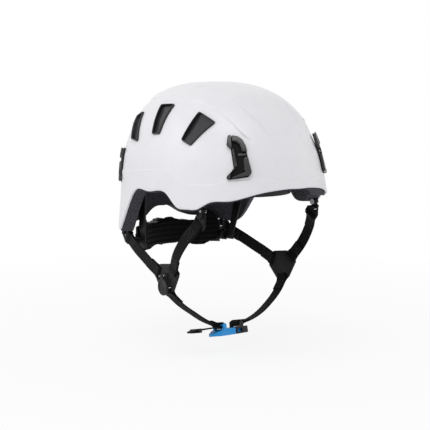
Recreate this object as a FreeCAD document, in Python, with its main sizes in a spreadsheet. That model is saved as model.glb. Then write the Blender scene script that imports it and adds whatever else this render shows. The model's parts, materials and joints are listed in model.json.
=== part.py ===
"""Vented safety helmet with a four-point chin harness, as a parametric FreeCAD document.

The front of the helmet faces -Y and the wearer's left is +X. The origin is the centre of the
head seat: the crown axis meets it at the height of the ear arches. Sizes are in millimetres.
"""
import FreeCAD, Part
import math
import os
import re

import Sketcher
from FreeCAD import Placement, Rotation, Vector

SIZES = {
    # dome of the outer shell, from the crown axis at ear height
    "shell_front": 142.0, "shell_back": 133.0, "shell_side": 104.0, "shell_crown": 130.0,
    "brim_flare": 7.0, "side_flare": 2.0, "back_flare": 1.0, "flare_height": 60.0,
    "shell_wall": 3.0, "skin_gap": 0.2,
    # heights of the shell's lower edge
    "rim_brim": 8.5, "rim_cheek": -6.0, "rim_temple": -15.7, "rim_ear": 1.0,
    "rim_lobe": -51.0, "rim_quarter": -45.0, "rim_nape": -29.5,
    # foam liner
    "liner_front": 20.0, "liner_back": 17.0, "liner_side": 12.5, "liner_crown": 18.0, "liner_peek": 1.8,
    # vents and their trays
    "vent_round": 5.0, "vent_fit": 0.3, "tray_wall": 1.5, "tray_depth": 8.0, "tray_rib": 1.2,
    "tray_rib_count": 4,
    # lamp clips
    "clip_proud": 4.0, "clip_recess": 1.8, "clip_border": 3.0,
    # headband and pads
    "band_length": 98.5, "band_breadth": 78.4, "band_wall": 1.8, "band_height": 24.0,
    "band_low": -4.0, "band_end": 25.0,
    "pad_thick": 6.0, "pad_gap": 0.3, "pad_reach": 55.0, "crown_pad_radius": 40.0,
    "plug_radius": 4.5, "plug_reach": 10.0, "plug_turn": 32.0,
    # side arms and their pivots
    "pivot_back": 50.0, "pivot_high": 4.0, "pivot_radius": 2.0, "pivot_head": 4.2, "pivot_fit": 0.06,
    "arm_slack": 0.2, "pivot_seat": 92.0, "arm_inside": 79.5, "arm_thick": 2.0, "arm_top": 9.0, "arm_low": 4.5,
    "arm_toe": 8.0, "arm_run": 11.0, "arm_drop": 75.0, "tail_high": 10.0, "tail_front": 5.0, "tail_back": 21.0,
    # nape cradle
    "cradle_radius": 88.3, "cradle_centre": 20.0, "cradle_wall": 2.6, "cradle_top": -51.5,
    "cradle_bottom": -80.0, "cradle_half": 48.0, "sleeve_long": 8.0, "sleeve_back": 15.0,
    "sleeve_wall": 1.5, "sleeve_fit": 0.35, "nape_pad_thick": 7.6, "nape_pad_half": 62.0, "nape_pad_top": -48.0, "nape_bump": 7.0, "nape_skirt": 6.0,
    "strip_wall": 1.4, "strip_high": 10.0,
    # ratchet
    "gear_module": 1.0, "pinion_teeth": 12, "gear_angle": 25.0, "tooth_high": 0.8, "tooth_root": 1.05,
    "tooth_slack": 0.16, "rack_thick": 2.4, "rack_back": 3.2, "rack_inside": 14.5, "rack_outside": 30.0,
    "housing_half": 33.0, "housing_high": 29.0, "housing_wall": 1.6, "cover_thick": 2.0,
    "run_gap": 0.3, "knob_radius": 17.5, "knob_thick": 10.5, "knob_wall": 2.2, "grip_count": 18,
    "grip_radius": 1.6, "axle_radius": 2.5, "screw_radius": 1.2, "screw_head": 2.2,
    "post_wall": 1.4,
    # strap anchors
    "front_pin_out": 87.4, "front_pin_ahead": 79.0, "front_pin_high": -23.0,
    "rear_pin_out": 77.0, "rear_pin_behind": 91.0, "rear_pin_high": -58.5,
    "hook_radius": 1.5, "hook_fit": 0.08, "bridge_high": 4.0, "bridge_deep": 5.0,
    "rivet_radius": 3.4, "rivet_head": 1.4, "bridge_long": 10.0, "knuckle_wide": 6.0,
    "link_thick": 2.6, "link_ear": 2.2, "link_side": 1.8, "link_neck": 7.8,
    # harness
    "web_thick": 1.6, "web_wide": 15.0, "web_fit": 0.4,
    "frame_thick": 3.0, "frame_bar": 3.0, "frame_side": 2.4, "frame_round": 2.0,
    "frame_out": 90.5, "frame_ahead": 15.0, "frame_low": -103.0,
    "front_bar_ahead": 18.0, "rear_bar_behind": 14.0, "side_bar_high": 9.0, "chin_bar_low": 14.0,
    "lever_radius": 10.0, "lever_thick": 3.0, "lever_pin": 1.2, "lever_back": 1.5, "lug_wide": 2.2,
    "lug_long": 5.0, "lug_rise": 3.6, "knuckle_long": 6.4, "lug_clear": 0.3,
    # buckle
    "buckle_side": -9.0, "buckle_drop": -172.0, "buckle_high": 8.0,
    "buckle_deep": 21.0, "buckle_body_long": 31.0, "buckle_frame_long": 18.5, "buckle_gap": 0.6,
    "prong_long": 11.0, "prong_wide": 3.0, "prong_out": 6.6, "prong_fit": 1.6,
    "bar_lift": 8.6, "body_bar": 16.0, "frame_bar_reach": 10.0,
    "front_bow": 9.0, "rear_bow": 3.0, "chin_bow": 6.0, "chin_bow_long": 12.0, "loose_end": 40.0,
}
# corners of the right-hand vents: degrees round from the front, height
VENTS = {
    "front": ((53.5, 96.0), (41.0, 84.0), (56.5, 57.0), (64.0, 63.0)),
    "middle": ((101.0, 103.0), (82.0, 104.0), (86.0, 69.0), (94.5, 68.0)),
    "rear": ((124.0, 94.0), (133.5, 88.0), (131.0, 79.0), (123.0, 60.0), (111.0, 58.0)),
}
# outline of the right-hand lamp clips: degrees round from the front, height
CLIPS = {
    "front": ((34.0, 68.0), (28.5, 67.0), (25.5, 58.0), (24.7, 47.0), (23.3, 28.0), (25.0, 23.0),
              (34.7, 19.5), (35.3, 23.0), (31.6, 32.0), (32.7, 54.0), (35.0, 58.0)),
    "rear": ((132.0, 48.0), (140.0, 48.0), (143.0, 40.0), (142.0, 10.0), (133.0, 5.0), (131.0, 11.0),
             (134.0, 20.0), (133.0, 38.0)),
}
COLUMNS = 36
ROWS = 9

doc = FreeCAD.newDocument("Helmet")
sheet = doc.addObject("Spreadsheet::Sheet", "Sizes")
for line, (alias, number) in enumerate(SIZES.items(), start=1):
    sheet.set(f"A{line}", alias)
    sheet.set(f"B{line}", str(number))
    sheet.setAlias(f"B{line}", alias)
doc.recompute()
S = type("Sizes", (), {alias: float(sheet.get(alias)) for alias in SIZES})
AXIS_X, AXIS_Y, AXIS_Z = Vector(1, 0, 0), Vector(0, 1, 0), Vector(0, 0, 1)
ORIGIN = Vector(0, 0, 0)
pieces = []


# ---------------------------------------------------------------- document helpers

def bound(item, **links):
    """Tie properties to expressions in which each size of the sheet is written by its alias."""
    for prop, text in links.items():
        linked = re.sub(r"[a-z]+(?:_[a-z]+)+", lambda word: f"Sizes.{word.group(0)}", text)
        item.setExpression(prop, linked)
    return item


def solid(kind, name, place=None, **links):
    """A Part primitive with sizes bound to the sheet."""
    item = bound(doc.addObject(f"Part::{kind}", name), **links)
    if place:
        item.Placement = place
    return item


def joined(kind, name, first, *others):
    """A Part boolean: Cut takes two operands, MultiFuse and MultiCommon take many."""
    item = doc.addObject(f"Part::{kind}", name)
    if kind == "Cut":
        item.Base, item.Tool = first, others[0]
    else:
        item.Shapes = [first, *others]
    return item


def feature(name, shape):
    """A Part::Feature that holds a shape worked out in this file."""
    item = doc.addObject("Part::Feature", name)
    item.Shape = shape
    return item


def piece(item, label):
    """Label one finished sub-part and keep it for export."""
    item.Label = label
    pieces.append(item)
    return item


def mirrored(item, label):
    """The same sub-part on the wearer's other side."""
    twin = doc.addObject("Part::Mirroring", "Mirror")
    twin.Source, twin.Normal, twin.Base = item, AXIS_X, ORIGIN
    return piece(twin, label)


def pair(item, label):
    """Keep the right-hand piece and its left-hand twin."""
    return piece(item, f"{label}_right"), mirrored(item, f"{label}_left")


def frame_place(base, axis_x, axis_y):
    """Placement whose local X and Y lie along two given directions."""
    turn = Rotation(axis_x, axis_y, axis_x.cross(axis_y), "XYZ")
    return Placement(base, turn)


def centred_box(name, long, deep, high, place, shift=(0, 0, 0)):
    """Box centred on a local point; its three sizes are expressions."""
    item = solid("Box", name, Length=long, Width=deep, Height=high)
    doc.recompute()
    half = Vector(item.Length.Value, item.Width.Value, item.Height.Value) * 0.5
    item.Placement = place.multiply(Placement(Vector(*shift) - half, Rotation()))
    return item


# ---------------------------------------------------------------- dome

def rim_height(turn):
    """Height of the shell's lower edge, by degrees round from the front."""
    turn = abs(turn) if turn <= 180 else 360 - turn
    stops = ((-8, S.rim_brim), (0, S.rim_brim), (8, S.rim_brim), (19, S.rim_brim - 3.5),
             (33, S.rim_cheek + 2.0), (43, S.rim_cheek), (51, S.rim_temple + 0.7), (57, S.rim_temple),
             (64, S.rim_temple + 1.2), (75, S.rim_ear + 1.0), (90, S.rim_ear), (108, S.rim_ear - 2.5),
             (127, S.rim_lobe + 1.0), (133, S.rim_lobe), (150, S.rim_quarter), (163, S.rim_quarter + 2.5),
             (173, S.rim_nape - 1.0), (180, S.rim_nape), (187, S.rim_nape - 1.0))
    index = max(i for i in range(1, len(stops) - 2) if stops[i][0] <= turn or i == 1)
    before, start, end, after = stops[index - 1:index + 3]
    span = end[0] - start[0]
    share = (turn - start[0]) / span
    slope_in = (end[1] - before[1]) / (end[0] - before[0]) * span
    slope_out = (after[1] - start[1]) / (after[0] - start[0]) * span
    rise = end[1] - start[1]
    return (start[1] + slope_in * share + (3 * rise - 2 * slope_in - slope_out) * share ** 2
            + (slope_in + slope_out - 2 * rise) * share ** 3)


def inset(front, back, side, crown):
    """How far a skin lies inside the shell's face on each axis."""
    return {"front": front, "back": back, "side": side, "crown": crown}


def even_inset(depth):
    return inset(depth, depth, depth, depth)


def dome_point(turn, height, skin):
    """Point of one skin of the dome: superellipses in plan and in elevation, flared at the rim."""
    up = min(max(height / (S.shell_crown - skin["crown"]), 0.0), 1.0)
    flare = max(1.0 - height / S.flare_height, 0.0) ** 2
    ahead, aside = math.cos(math.radians(turn)), math.sin(math.radians(turn))
    if ahead > 0:
        long = (S.shell_front - skin["front"]) * (1 - up ** 2.2) ** (1 / 2.2) + S.brim_flare * flare
    else:
        long = (S.shell_back - skin["back"]) * (1 - up ** 2.85) ** (1 / 2.85) + S.back_flare * flare
    broad = (S.shell_side - skin["side"]) * (1 - up ** 2.6) ** (1 / 2.6) + S.side_flare * flare
    reach = ((abs(ahead) / long) ** 2.2 + (abs(aside) / broad) ** 2.2) ** (-1 / 2.2)
    return Vector(-reach * aside, -reach * ahead, height)


def half_skin(skin, drop):
    """Right half of one skin with its rim and crown edges."""
    step = 180.0 / COLUMNS
    top = (S.shell_crown - skin["crown"]) * 0.9992
    lift = [math.sin(math.radians(87.0 * row / ROWS)) / math.sin(math.radians(87.0))
            for row in range(ROWS + 1)]
    grid = []
    for column in range(-2, COLUMNS + 3):
        low = rim_height(column * step) - drop
        grid.append([dome_point(column * step, low + (top - low) * share, skin) for share in lift])
    surface = Part.BSplineSurface()
    surface.interpolate(grid)
    knots = surface.getUKnots()
    surface.segment(knots[2], knots[-3], 0.0, 1.0)
    return surface.toShape(), surface.vIso(0.0).toShape(), surface.vIso(1.0).toShape()


def bowl(outer, inner, outer_drop=0.0, inner_drop=0.0):
    """Closed wall between two skins of the dome."""
    outside, outside_rim, outside_top = half_skin(outer, outer_drop)
    inside, inside_rim, inside_top = half_skin(inner, inner_drop)
    halves = [outside, inside, Part.makeRuledSurface(outside_rim, inside_rim)]
    faces = halves + [face.mirror(ORIGIN, AXIS_X) for face in halves]
    for edge in (outside_top, inside_top):
        faces.append(Part.Face(Part.Wire([edge, edge.mirror(ORIGIN, AXIS_X)])))
    skin = Part.Shell(faces)
    skin.sewShape()
    return fixed(Part.Solid(skin))


def fixed(shape):
    """Turn a solid the right way out."""
    if shape.Volume < 0:
        shape.reverse()
    return shape


def surface_prism(corners, outside, inside, grow=0.0, rounding=0.0):
    """Prism through the dome, square to it at the middle of an outline of turns and heights."""
    spots = [dome_point(turn, height, even_inset(0.0)) for turn, height in corners]
    centre = sum(spots, Vector()) * (1.0 / len(spots))
    normal = (spots[len(spots) // 2] - spots[0]).cross(spots[-1] - spots[1]).normalize()
    if normal.dot(centre) < 0:
        normal = normal * -1
    flat = [spot - normal * normal.dot(spot - centre) for spot in spots]
    face = Part.Face(Part.makePolygon(flat + flat[:1]))
    if grow:
        face = face.makeOffset2D(grow, join=2)
    face.translate(normal * outside)
    block = fixed(face.extrude(normal * -(outside + inside)))
    if rounding:
        edges = [edge for edge in block.Edges
                 if abs(abs(edge.tangentAt(edge.FirstParameter).dot(normal)) - 1) < 1e-3]
        block = block.makeFillet(rounding, edges)
    return block, centre, normal


# ---------------------------------------------------------------- shell, liner, trays, clips

def vent_block(corners, grow, inside):
    return surface_prism(corners, 20.0, inside, grow, S.vent_round + grow)[0]


def both_sides(shape):
    return [shape, shape.mirror(ORIGIN, AXIS_X)]


def outer_shell():
    wall = bowl(even_inset(0.0), even_inset(S.shell_wall))
    holes = []
    for corners in VENTS.values():
        holes += both_sides(vent_block(corners, 0.0, S.tray_depth + S.shell_wall))
    return piece(feature("OuterShell", wall.cut(holes)), "outer_shell")


def liner_skins():
    """Insets of the liner's outer and inner faces."""
    start = S.shell_wall + S.skin_gap
    return even_inset(start), inset(start + S.liner_front, start + S.liner_back,
                                    start + S.liner_side, start + S.liner_crown)


def plug_places():
    """Base points and directions of the right-hand headband plugs."""
    for turn in (S.plug_turn, 180.0 - 2.4 * S.plug_turn):
        way = Vector(-math.sin(math.radians(turn)), -math.cos(math.radians(turn)), 0)
        reach = 1 / math.hypot(way.x / S.band_breadth, way.y / S.band_length)
        yield way * (reach - S.band_wall), way, dome_reach(way)


def dome_reach(way):
    """Distance from the crown axis to the liner's inner face, at the height of the plugs."""
    turn = math.degrees(math.atan2(-way.x, -way.y))
    spot = dome_point(turn, plug_height(), liner_skins()[1])
    return math.hypot(spot.x, spot.y)


def plug_height():
    return S.band_low + S.band_height / 2


def impact_liner():
    outer, inner = liner_skins()
    foam = bowl(outer, inner, S.liner_peek, S.liner_peek)
    pockets = []
    for corners in VENTS.values():
        depth = S.tray_depth + S.tray_wall + S.vent_fit
        pockets += both_sides(vent_block(corners, S.vent_fit, depth))
    for base, way, reach in plug_places():
        start = way * (reach - 12.0) + AXIS_Z * plug_height()
        long = 12.0 + S.plug_reach + S.skin_gap
        pockets += both_sides(Part.makeCylinder(S.plug_radius + S.skin_gap, long, start, way))
    for radius, reach in ((S.pivot_head, S.pivot_seat), (S.arm_top + 7.0, S.arm_inside + S.arm_thick + 3.2)):
        pockets += both_sides(Part.makeCylinder(radius + S.skin_gap, reach + S.skin_gap,
                                                pivot_centre(), AXIS_X * -1))
    for place in bracket_places().values():
        pockets += both_sides(bracket_envelope(place))
    return piece(feature("ImpactLiner", foam.cut(pockets)), "impact_liner")


def vent_tray(name, corners):
    """Tray that lines one vent: a wall all round, a floor and a row of ribs."""
    skin = bowl(even_inset(0.4), even_inset(40.0))
    depth = S.tray_depth + S.tray_wall
    block = vent_block(corners, -0.15, depth)
    hollow, centre, normal = surface_prism(corners, 20.0, S.tray_depth, -0.15 - S.tray_wall,
                                           S.vent_round - 0.15 - S.tray_wall)
    tray = block.cut(hollow)
    ribs = []
    count = int(S.tray_rib_count)
    for index in range(count):
        height = centre.z + (index - (count - 1) / 2) * 6.5
        rib = Part.makeBox(120, 200, S.tray_rib, Vector(-130, centre.y - 100, height))
        ribs.append(rib.common(surface_prism(corners, -S.tray_depth + 2.4, S.tray_depth + 0.4,
                                             -0.3 - S.tray_wall)[0]))
    tray = tray.fuse(ribs).common(skin).removeSplitter()
    return pair(feature(f"Tray{name.title()}", tray), f"vent_tray_{name}")


def lamp_clip(name, corners):
    """Clip that holds a lamp's band: a raised border round a shallow recess."""
    reach = S.clip_proud
    layer = bowl(even_inset(-reach), even_inset(-S.skin_gap))
    clip = surface_prism(corners, 30.0, 30.0)[0].common(layer)
    floor = bowl(even_inset(-reach - 5.0), even_inset(S.clip_recess - reach))
    recess = surface_prism(corners, 30.0, 30.0, -S.clip_border)[0].common(floor)
    return pair(feature(f"Clip{name.title()}", clip.cut(recess)), f"lamp_clip_{name}")


# ---------------------------------------------------------------- headband and pads

def oval_column(name, long, broad, high, low):
    """Upright column with an elliptical plan."""
    oval = solid("Ellipse", f"{name}Oval", MajorRadius=long, MinorRadius=broad)
    oval.Placement = Placement(Vector(0, 0, low), Rotation(AXIS_Z, 90))
    column = doc.addObject("Part::Extrusion", name)
    column.Base, column.DirMode, column.Dir, column.Solid = oval, "Custom", AXIS_Z, True
    return bound(column, LengthFwd=high)


def oval_ring(name, grow_out, grow_in, high, low, behind):
    """Band round the head, open behind a given depth."""
    outer = oval_column(f"{name}Outer", f"band_length + {grow_out}", f"band_breadth + {grow_out}", high, low)
    inner = oval_column(f"{name}Inner", f"band_length + {grow_in}", f"band_breadth + {grow_in}", high, low)
    ring = joined("Cut", f"{name}Ring", outer, inner)
    front = solid("Box", f"{name}Front", Length="4 * band_breadth", Width="4 * band_length", Height=high)
    front.Placement = Placement(Vector(-2 * S.band_breadth, behind - 4 * S.band_length, low), Rotation())
    return joined("MultiCommon", name, ring, front)


def pivot_centre():
    return Vector(0, S.pivot_back, S.pivot_high)


def front_headband():
    band = oval_ring("Headband", "0", "-band_wall", "band_height", S.band_low, S.band_end)
    return piece(band, "front_headband")


def forehead_pad():
    pad = oval_ring("ForeheadPad", "-band_wall - pad_gap", "-band_wall - pad_gap - pad_thick",
                    "band_height", S.band_low, -S.pad_reach)
    return piece(pad, "forehead_pad")


def crown_pad():
    inner = liner_skins()[1]
    near = {side: depth + S.pad_gap for side, depth in inner.items()}
    far = {side: depth + S.pad_thick for side, depth in near.items()}
    round_part = Part.makeCylinder(S.crown_pad_radius, S.shell_crown)
    return piece(feature("CrownPad", bowl(near, far).common(round_part)), "crown_pad")


def headband_plugs():
    """Four plugs that push through the headband's face into the liner."""
    band = Part.Ellipse(ORIGIN, S.band_length, S.band_breadth)
    plan = Part.Face(Part.Wire(band.toShape()))
    plan.rotate(ORIGIN, AXIS_Z, 90)
    plan.translate(AXIS_Z * (S.band_low - 1))
    core = plan.extrude(AXIS_Z * (S.band_height + 2))
    plugs = []
    for base, way, reach in plug_places():
        start = base + AXIS_Z * plug_height()
        plug = Part.makeCylinder(S.plug_radius, reach + S.plug_reach - base.Length, start, way)
        plugs += both_sides(plug.cut(core))
    return piece(feature("HeadbandPlugs", Part.Compound(plugs)), "headband_plugs")


# ---------------------------------------------------------------- side arms

def toed_in(item):
    """Lean a right-hand piece of the cradle linkage inwards below the pivot."""
    pivot = Vector(-S.arm_inside, S.pivot_back, S.pivot_high)
    lean = Placement(ORIGIN, Rotation(AXIS_Y, -S.arm_toe), pivot)
    item.Placement = lean.multiply(item.Placement)
    return item


def tail_centre_height():
    return S.pivot_high - S.arm_drop


def side_arm():
    """Flat arm: a round eye at the pivot, a tapering limb and a level tail."""
    body = doc.addObject("PartDesign::Body", "SideArm")
    sketch = body.newObject("Sketcher::SketchObject", "ArmOutline")
    plane = next(item for item in body.Origin.OriginFeatures if item.Role == "YZ_Plane")
    sketch.AttachmentSupport, sketch.MapMode = [(plane, "")], "FlatFace"
    eye = Vector(S.pivot_back, S.pivot_high, 0)
    low = Vector(S.pivot_back + S.arm_run, tail_centre_height() + S.tail_high / 2, 0)
    rear, fore = low.x + S.tail_back, low.x - S.tail_front
    half = S.tail_high / 2
    corners = [eye + Vector(-S.arm_top, 0, 0), eye + Vector(-S.arm_top * 0.6, S.arm_top, 0),
               eye + Vector(S.arm_top * 0.6, S.arm_top, 0), eye + Vector(S.arm_top, 0, 0),
               low + Vector(S.arm_low, 0, 0), Vector(rear, low.y, 0), Vector(rear, low.y - 2 * half, 0),
               Vector(fore, low.y - 2 * half, 0), Vector(fore, low.y, 0)]
    for start, end in zip(corners, corners[1:] + corners[:1]):
        sketch.addGeometry(Part.LineSegment(start, end))
    count = len(corners)
    for index in range(count):
        sketch.addConstraint(Sketcher.Constraint("Coincident", index, 2, (index + 1) % count, 1))
    sketch.addGeometry(Part.Circle(eye, AXIS_Z, S.pivot_radius + S.pivot_fit + S.arm_slack))
    pad = body.newObject("PartDesign::Pad", "ArmPlate")
    pad.Profile = sketch
    bound(pad, Length="arm_thick")
    doc.recompute()
    pad.Reversed = body.Shape.BoundBox.XMax > 0.1
    body.Placement = Placement(Vector(-S.arm_inside, 0, 0), Rotation())
    return pair(toed_in(body), "side_arm")


def pivot_seat_block():
    """The part of the right-hand pivot that sits in the liner."""
    start = pivot_centre() - AXIS_X * (S.arm_inside + S.arm_thick + 0.6)
    return Part.makeCylinder(S.pivot_head, S.pivot_seat - S.arm_inside - S.arm_thick - 0.6, start, AXIS_X * -1)


def arm_pivots():
    """Stepped studs: a seat in the liner, a shaft through the arm and a head inside it."""
    start = pivot_centre() - AXIS_X * (S.arm_inside - 1.9)
    shaft = Part.makeCylinder(S.pivot_radius, S.pivot_seat - S.arm_inside, start, AXIS_X * -1)
    head = Part.makeCylinder(S.pivot_head, 1.2, start, AXIS_X * -1)
    pin = pivot_seat_block().fuse([shaft, head]).removeSplitter()
    return piece(feature("ArmPivots", Part.Compound(both_sides(pin))), "arm_pivots")


# ---------------------------------------------------------------- nape cradle

def cradle_ring(name, near, far, high, low, half):
    """Upright curved wall behind the head between two radii, within half an angle each way."""
    outer = solid("Cylinder", f"{name}Outer", Radius=far, Height=high, Angle=f"2 * {half}")
    inner = solid("Cylinder", f"{name}Inner", Radius=near, Height=high)
    doc.recompute()
    centre = Vector(0, S.cradle_centre, low)
    outer.Placement = Placement(centre, Rotation(AXIS_Z, 90 - outer.Angle.Value / 2))
    inner.Placement = Placement(centre, Rotation())
    return joined("Cut", name, outer, inner)


def tail_place():
    """Middle of the right-hand arm's tail, leaning with the arm."""
    item = Placement(Vector(-S.arm_inside - S.arm_thick / 2, tail_middle(), tail_centre_height()), Rotation())
    pivot = Vector(-S.arm_inside, S.pivot_back, S.pivot_high)
    return Placement(ORIGIN, Rotation(AXIS_Y, -S.arm_toe), pivot).multiply(item)


def tail_middle():
    """Depth at which the sleeve stands along the tail when the band is at its middle size."""
    return S.pivot_back + S.arm_run + S.sleeve_back


def sleeve(name):
    """Guide on the cradle that slides along the arm's tail, with the wing that carries it."""
    place = tail_place()
    outside = centred_box(f"{name}Outside", "arm_thick + 2 * (sleeve_fit + sleeve_wall)", "sleeve_long",
                          "tail_high + 2 * (sleeve_fit + sleeve_wall)", place)
    angle = math.radians(S.cradle_half)
    reach = S.cradle_radius + S.cradle_wall / 2
    wing_end = Vector(-reach * math.sin(angle), S.cradle_centre + reach * math.cos(angle), 0)
    start = place.Base.x + S.arm_thick / 2 + S.sleeve_fit + 0.4
    wing = Part.makeBox(wing_end.x + S.cradle_wall - start + 0.6, wing_end.y - place.Base.y + S.sleeve_long,
                        S.tail_high, Vector(start, place.Base.y - S.sleeve_long / 2, place.Base.z - S.tail_high / 2))
    void = centred_box(f"{name}Void", "arm_thick + 2 * sleeve_fit", "sleeve_long + 30",
                       "tail_high + 2 * sleeve_fit", place)
    return outside, feature(f"{name}Wing", wing), void


def nape_cradle():
    wall = cradle_ring("CradleWall", "cradle_radius", "cradle_radius + cradle_wall",
                       "cradle_top - cradle_bottom", S.cradle_bottom, "cradle_half")
    outside, wing, void = sleeve("Sleeve")
    twins = [doc.addObject("Part::Mirroring", f"{item.Name}Twin") for item in (outside, wing, void)]
    for twin, source in zip(twins, (outside, wing, void)):
        twin.Source, twin.Normal, twin.Base = source, AXIS_X, ORIGIN
    plate = joined("MultiFuse", "CradlePlate", wall, outside, wing, twins[0], twins[1])
    voids = joined("MultiFuse", "CradleVoids", void, twins[2])
    return piece(joined("Cut", "NapeCradle", plate, voids), "nape_cradle")


def nape_pad():
    """Padded face of the cradle: a raised end each side, a low middle bump and a full lower edge."""
    half, top, low = S.nape_pad_half, S.nape_pad_top, S.cradle_bottom
    bump, skirt = S.nape_bump, S.nape_skirt
    upper = [Vector(-half, 0, top - 2), Vector(-half * 0.84, 0, top + bump), Vector(-half * 0.6, 0, top),
             Vector(0, 0, top + bump * 0.35), Vector(half * 0.6, 0, top),
             Vector(half * 0.84, 0, top + bump), Vector(half, 0, top - 2)]
    lower = [Vector(half, 0, low + 4), Vector(half * 0.6, 0, low - skirt * 0.5),
             Vector(0, 0, low - skirt * 0.2), Vector(-half * 0.6, 0, low - skirt * 0.5),
             Vector(-half, 0, low + 4)]
    edges = []
    for points in (upper, lower):
        curve = Part.BSplineCurve()
        curve.interpolate(points)
        edges.append(curve.toShape())
    edges.append(Part.makeLine(upper[-1], lower[0]))
    edges.append(Part.makeLine(lower[-1], upper[0]))
    block = Part.Face(Part.Wire(Part.__sortEdges__(edges))).extrude(AXIS_Y * 200)
    height = top - low + 2 * (bump + skirt)
    base = Vector(0, S.cradle_centre, low - bump - skirt)
    outer = Part.makeCylinder(S.cradle_radius - S.pad_gap, height, base)
    inner = Part.makeCylinder(S.cradle_radius - S.pad_gap - S.nape_pad_thick, height, base)
    return piece(feature("NapePad", fixed(block).common(outer.cut(inner))), "nape_pad")


def ratchet_height():
    return (S.cradle_top + S.cradle_bottom) / 2


def ratchet_face():
    """Depth of the housing's inner floor, on which the racks run."""
    return S.cradle_centre + S.cradle_radius + S.cradle_wall + 0.3 + S.housing_wall


def band_strip():
    """Flexible end of the band, lying round the back of the cradle wing."""
    ring = cradle_ring("Strip", "cradle_radius + cradle_wall + run_gap",
                       "cradle_radius + cradle_wall + run_gap + strip_wall", "strip_high",
                       ratchet_height() - S.strip_high / 2, "cradle_half - 7")
    side = solid("Box", "StripSide", Length="cradle_radius", Width="4 * cradle_radius", Height="strip_high")
    side.Placement = Placement(Vector(-S.housing_half - 1 - S.cradle_radius, -S.cradle_radius,
                                      ratchet_height() - S.strip_high / 2), Rotation())
    return pair(joined("MultiCommon", "BandStrip", ring, side), "band_strip")


# ---------------------------------------------------------------- ratchet

def pitch_radius():
    return S.gear_module * S.pinion_teeth / 2


def housing_depth():
    """Room from the housing's floor to the underside of its cover."""
    return S.rack_thick + 2 * S.run_gap


def ratchet_housing():
    """Shallow case on the cradle's back with a slot for each rack."""
    back = S.cradle_centre + math.sqrt((S.cradle_radius + S.cradle_wall) ** 2 - S.housing_half ** 2)
    deep = ratchet_face() - back + housing_depth()
    case = Part.makeBox(2 * S.housing_half, deep, S.housing_high,
                        Vector(-S.housing_half, back, ratchet_height() - S.housing_high / 2))
    bed = Part.makeCylinder(S.cradle_radius + S.cradle_wall + 0.1, S.housing_high,
                            Vector(0, S.cradle_centre, ratchet_height() - S.housing_high / 2))
    inner = S.housing_half - S.housing_wall
    tall = S.housing_high - 2 * S.housing_wall
    cavity = Part.makeBox(2 * inner, 50, tall, Vector(-inner, ratchet_face(), ratchet_height() - tall / 2))
    half = post_half()
    posts = [Part.makeBox(2 * half, housing_depth(), 2 * half, spot - Vector(half, 0, half))
             for spot in screw_spots()]
    holes = [Part.makeCylinder(S.screw_radius, 20, spot - AXIS_Y * 1.0, AXIS_Y) for spot in screw_spots()]
    slots = [rack_slot(side) for side in (-1, 1)]
    case = case.cut([bed, cavity]).fuse(posts).cut(holes + slots).removeSplitter()
    return piece(feature("RatchetHousing", case), "ratchet_housing")


def post_half():
    """Half the width of a square screw post."""
    return S.screw_radius + S.post_wall


def screw_spots():
    """Corner screws of the cover, clear of the racks."""
    across = S.housing_half - S.housing_wall - post_half()
    up = S.housing_high / 2 - S.housing_wall - post_half()
    return [Vector(side * across, ratchet_face(), ratchet_height() + side * up) for side in (-1, 1)]


def rack_span():
    """Half the height between the two racks' backs."""
    return pitch_radius() + S.gear_module * S.tooth_root + S.rack_back


def rack_slot(side):
    """Opening in the housing's end for the rack on that side; the left rack runs below the pinion."""
    low = ratchet_height() + (-rack_span() if side > 0 else rack_span() - S.rack_back - 2 * S.gear_module)
    high = S.rack_back + 2 * S.gear_module
    return Part.makeBox(8, S.rack_thick + 2 * S.run_gap, high + 2 * S.run_gap,
                        Vector(side * S.housing_half - 4, ratchet_face(), low - S.run_gap))


def rack_profile():
    """Right-hand rack, teeth downwards, from its inner end to its outer end."""
    pitch = math.pi * S.gear_module
    lean = math.tan(math.radians(S.gear_angle))
    crest, root = S.gear_module * S.tooth_high, S.gear_module * S.tooth_root
    line, back = pitch_radius(), rack_span()
    half = pitch / 4 - S.tooth_slack / 2
    points = [(S.rack_inside, back), (S.rack_inside, line + root)]
    count = int(2 * S.rack_inside / pitch)
    for tooth in range(count):
        middle = ((count - 1) / 2 - tooth) * pitch
        points += [(middle + half + root * lean, line + root), (middle + half - crest * lean, line - crest),
                   (middle - half + crest * lean, line - crest), (middle - half - root * lean, line + root)]
    points += [(-S.rack_outside, line + root), (-S.rack_outside, back)]
    return [Vector(x, 0, z) for x, z in points]


def band_racks():
    """Toothed band ends: one over the pinion, one under it, half a turn apart."""
    profile = rack_profile()
    face = Part.Face(Part.makePolygon(profile + profile[:1]))
    rack = fixed(face.extrude(AXIS_Y * S.rack_thick))
    rack.translate(Vector(0, ratchet_face() + S.run_gap, ratchet_height()))
    piece(feature("BandRackRight", rack), "band_rack_right")
    twin = rack.copy()
    twin.rotate(Vector(0, 0, ratchet_height()), AXIS_Y, 180)
    return piece(feature("BandRackLeft", twin), "band_rack_left")


def involute(ratio):
    """Angle that an involute turns through, from the ratio of its base to its reach."""
    return math.tan(math.acos(ratio)) - math.acos(ratio)


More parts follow.
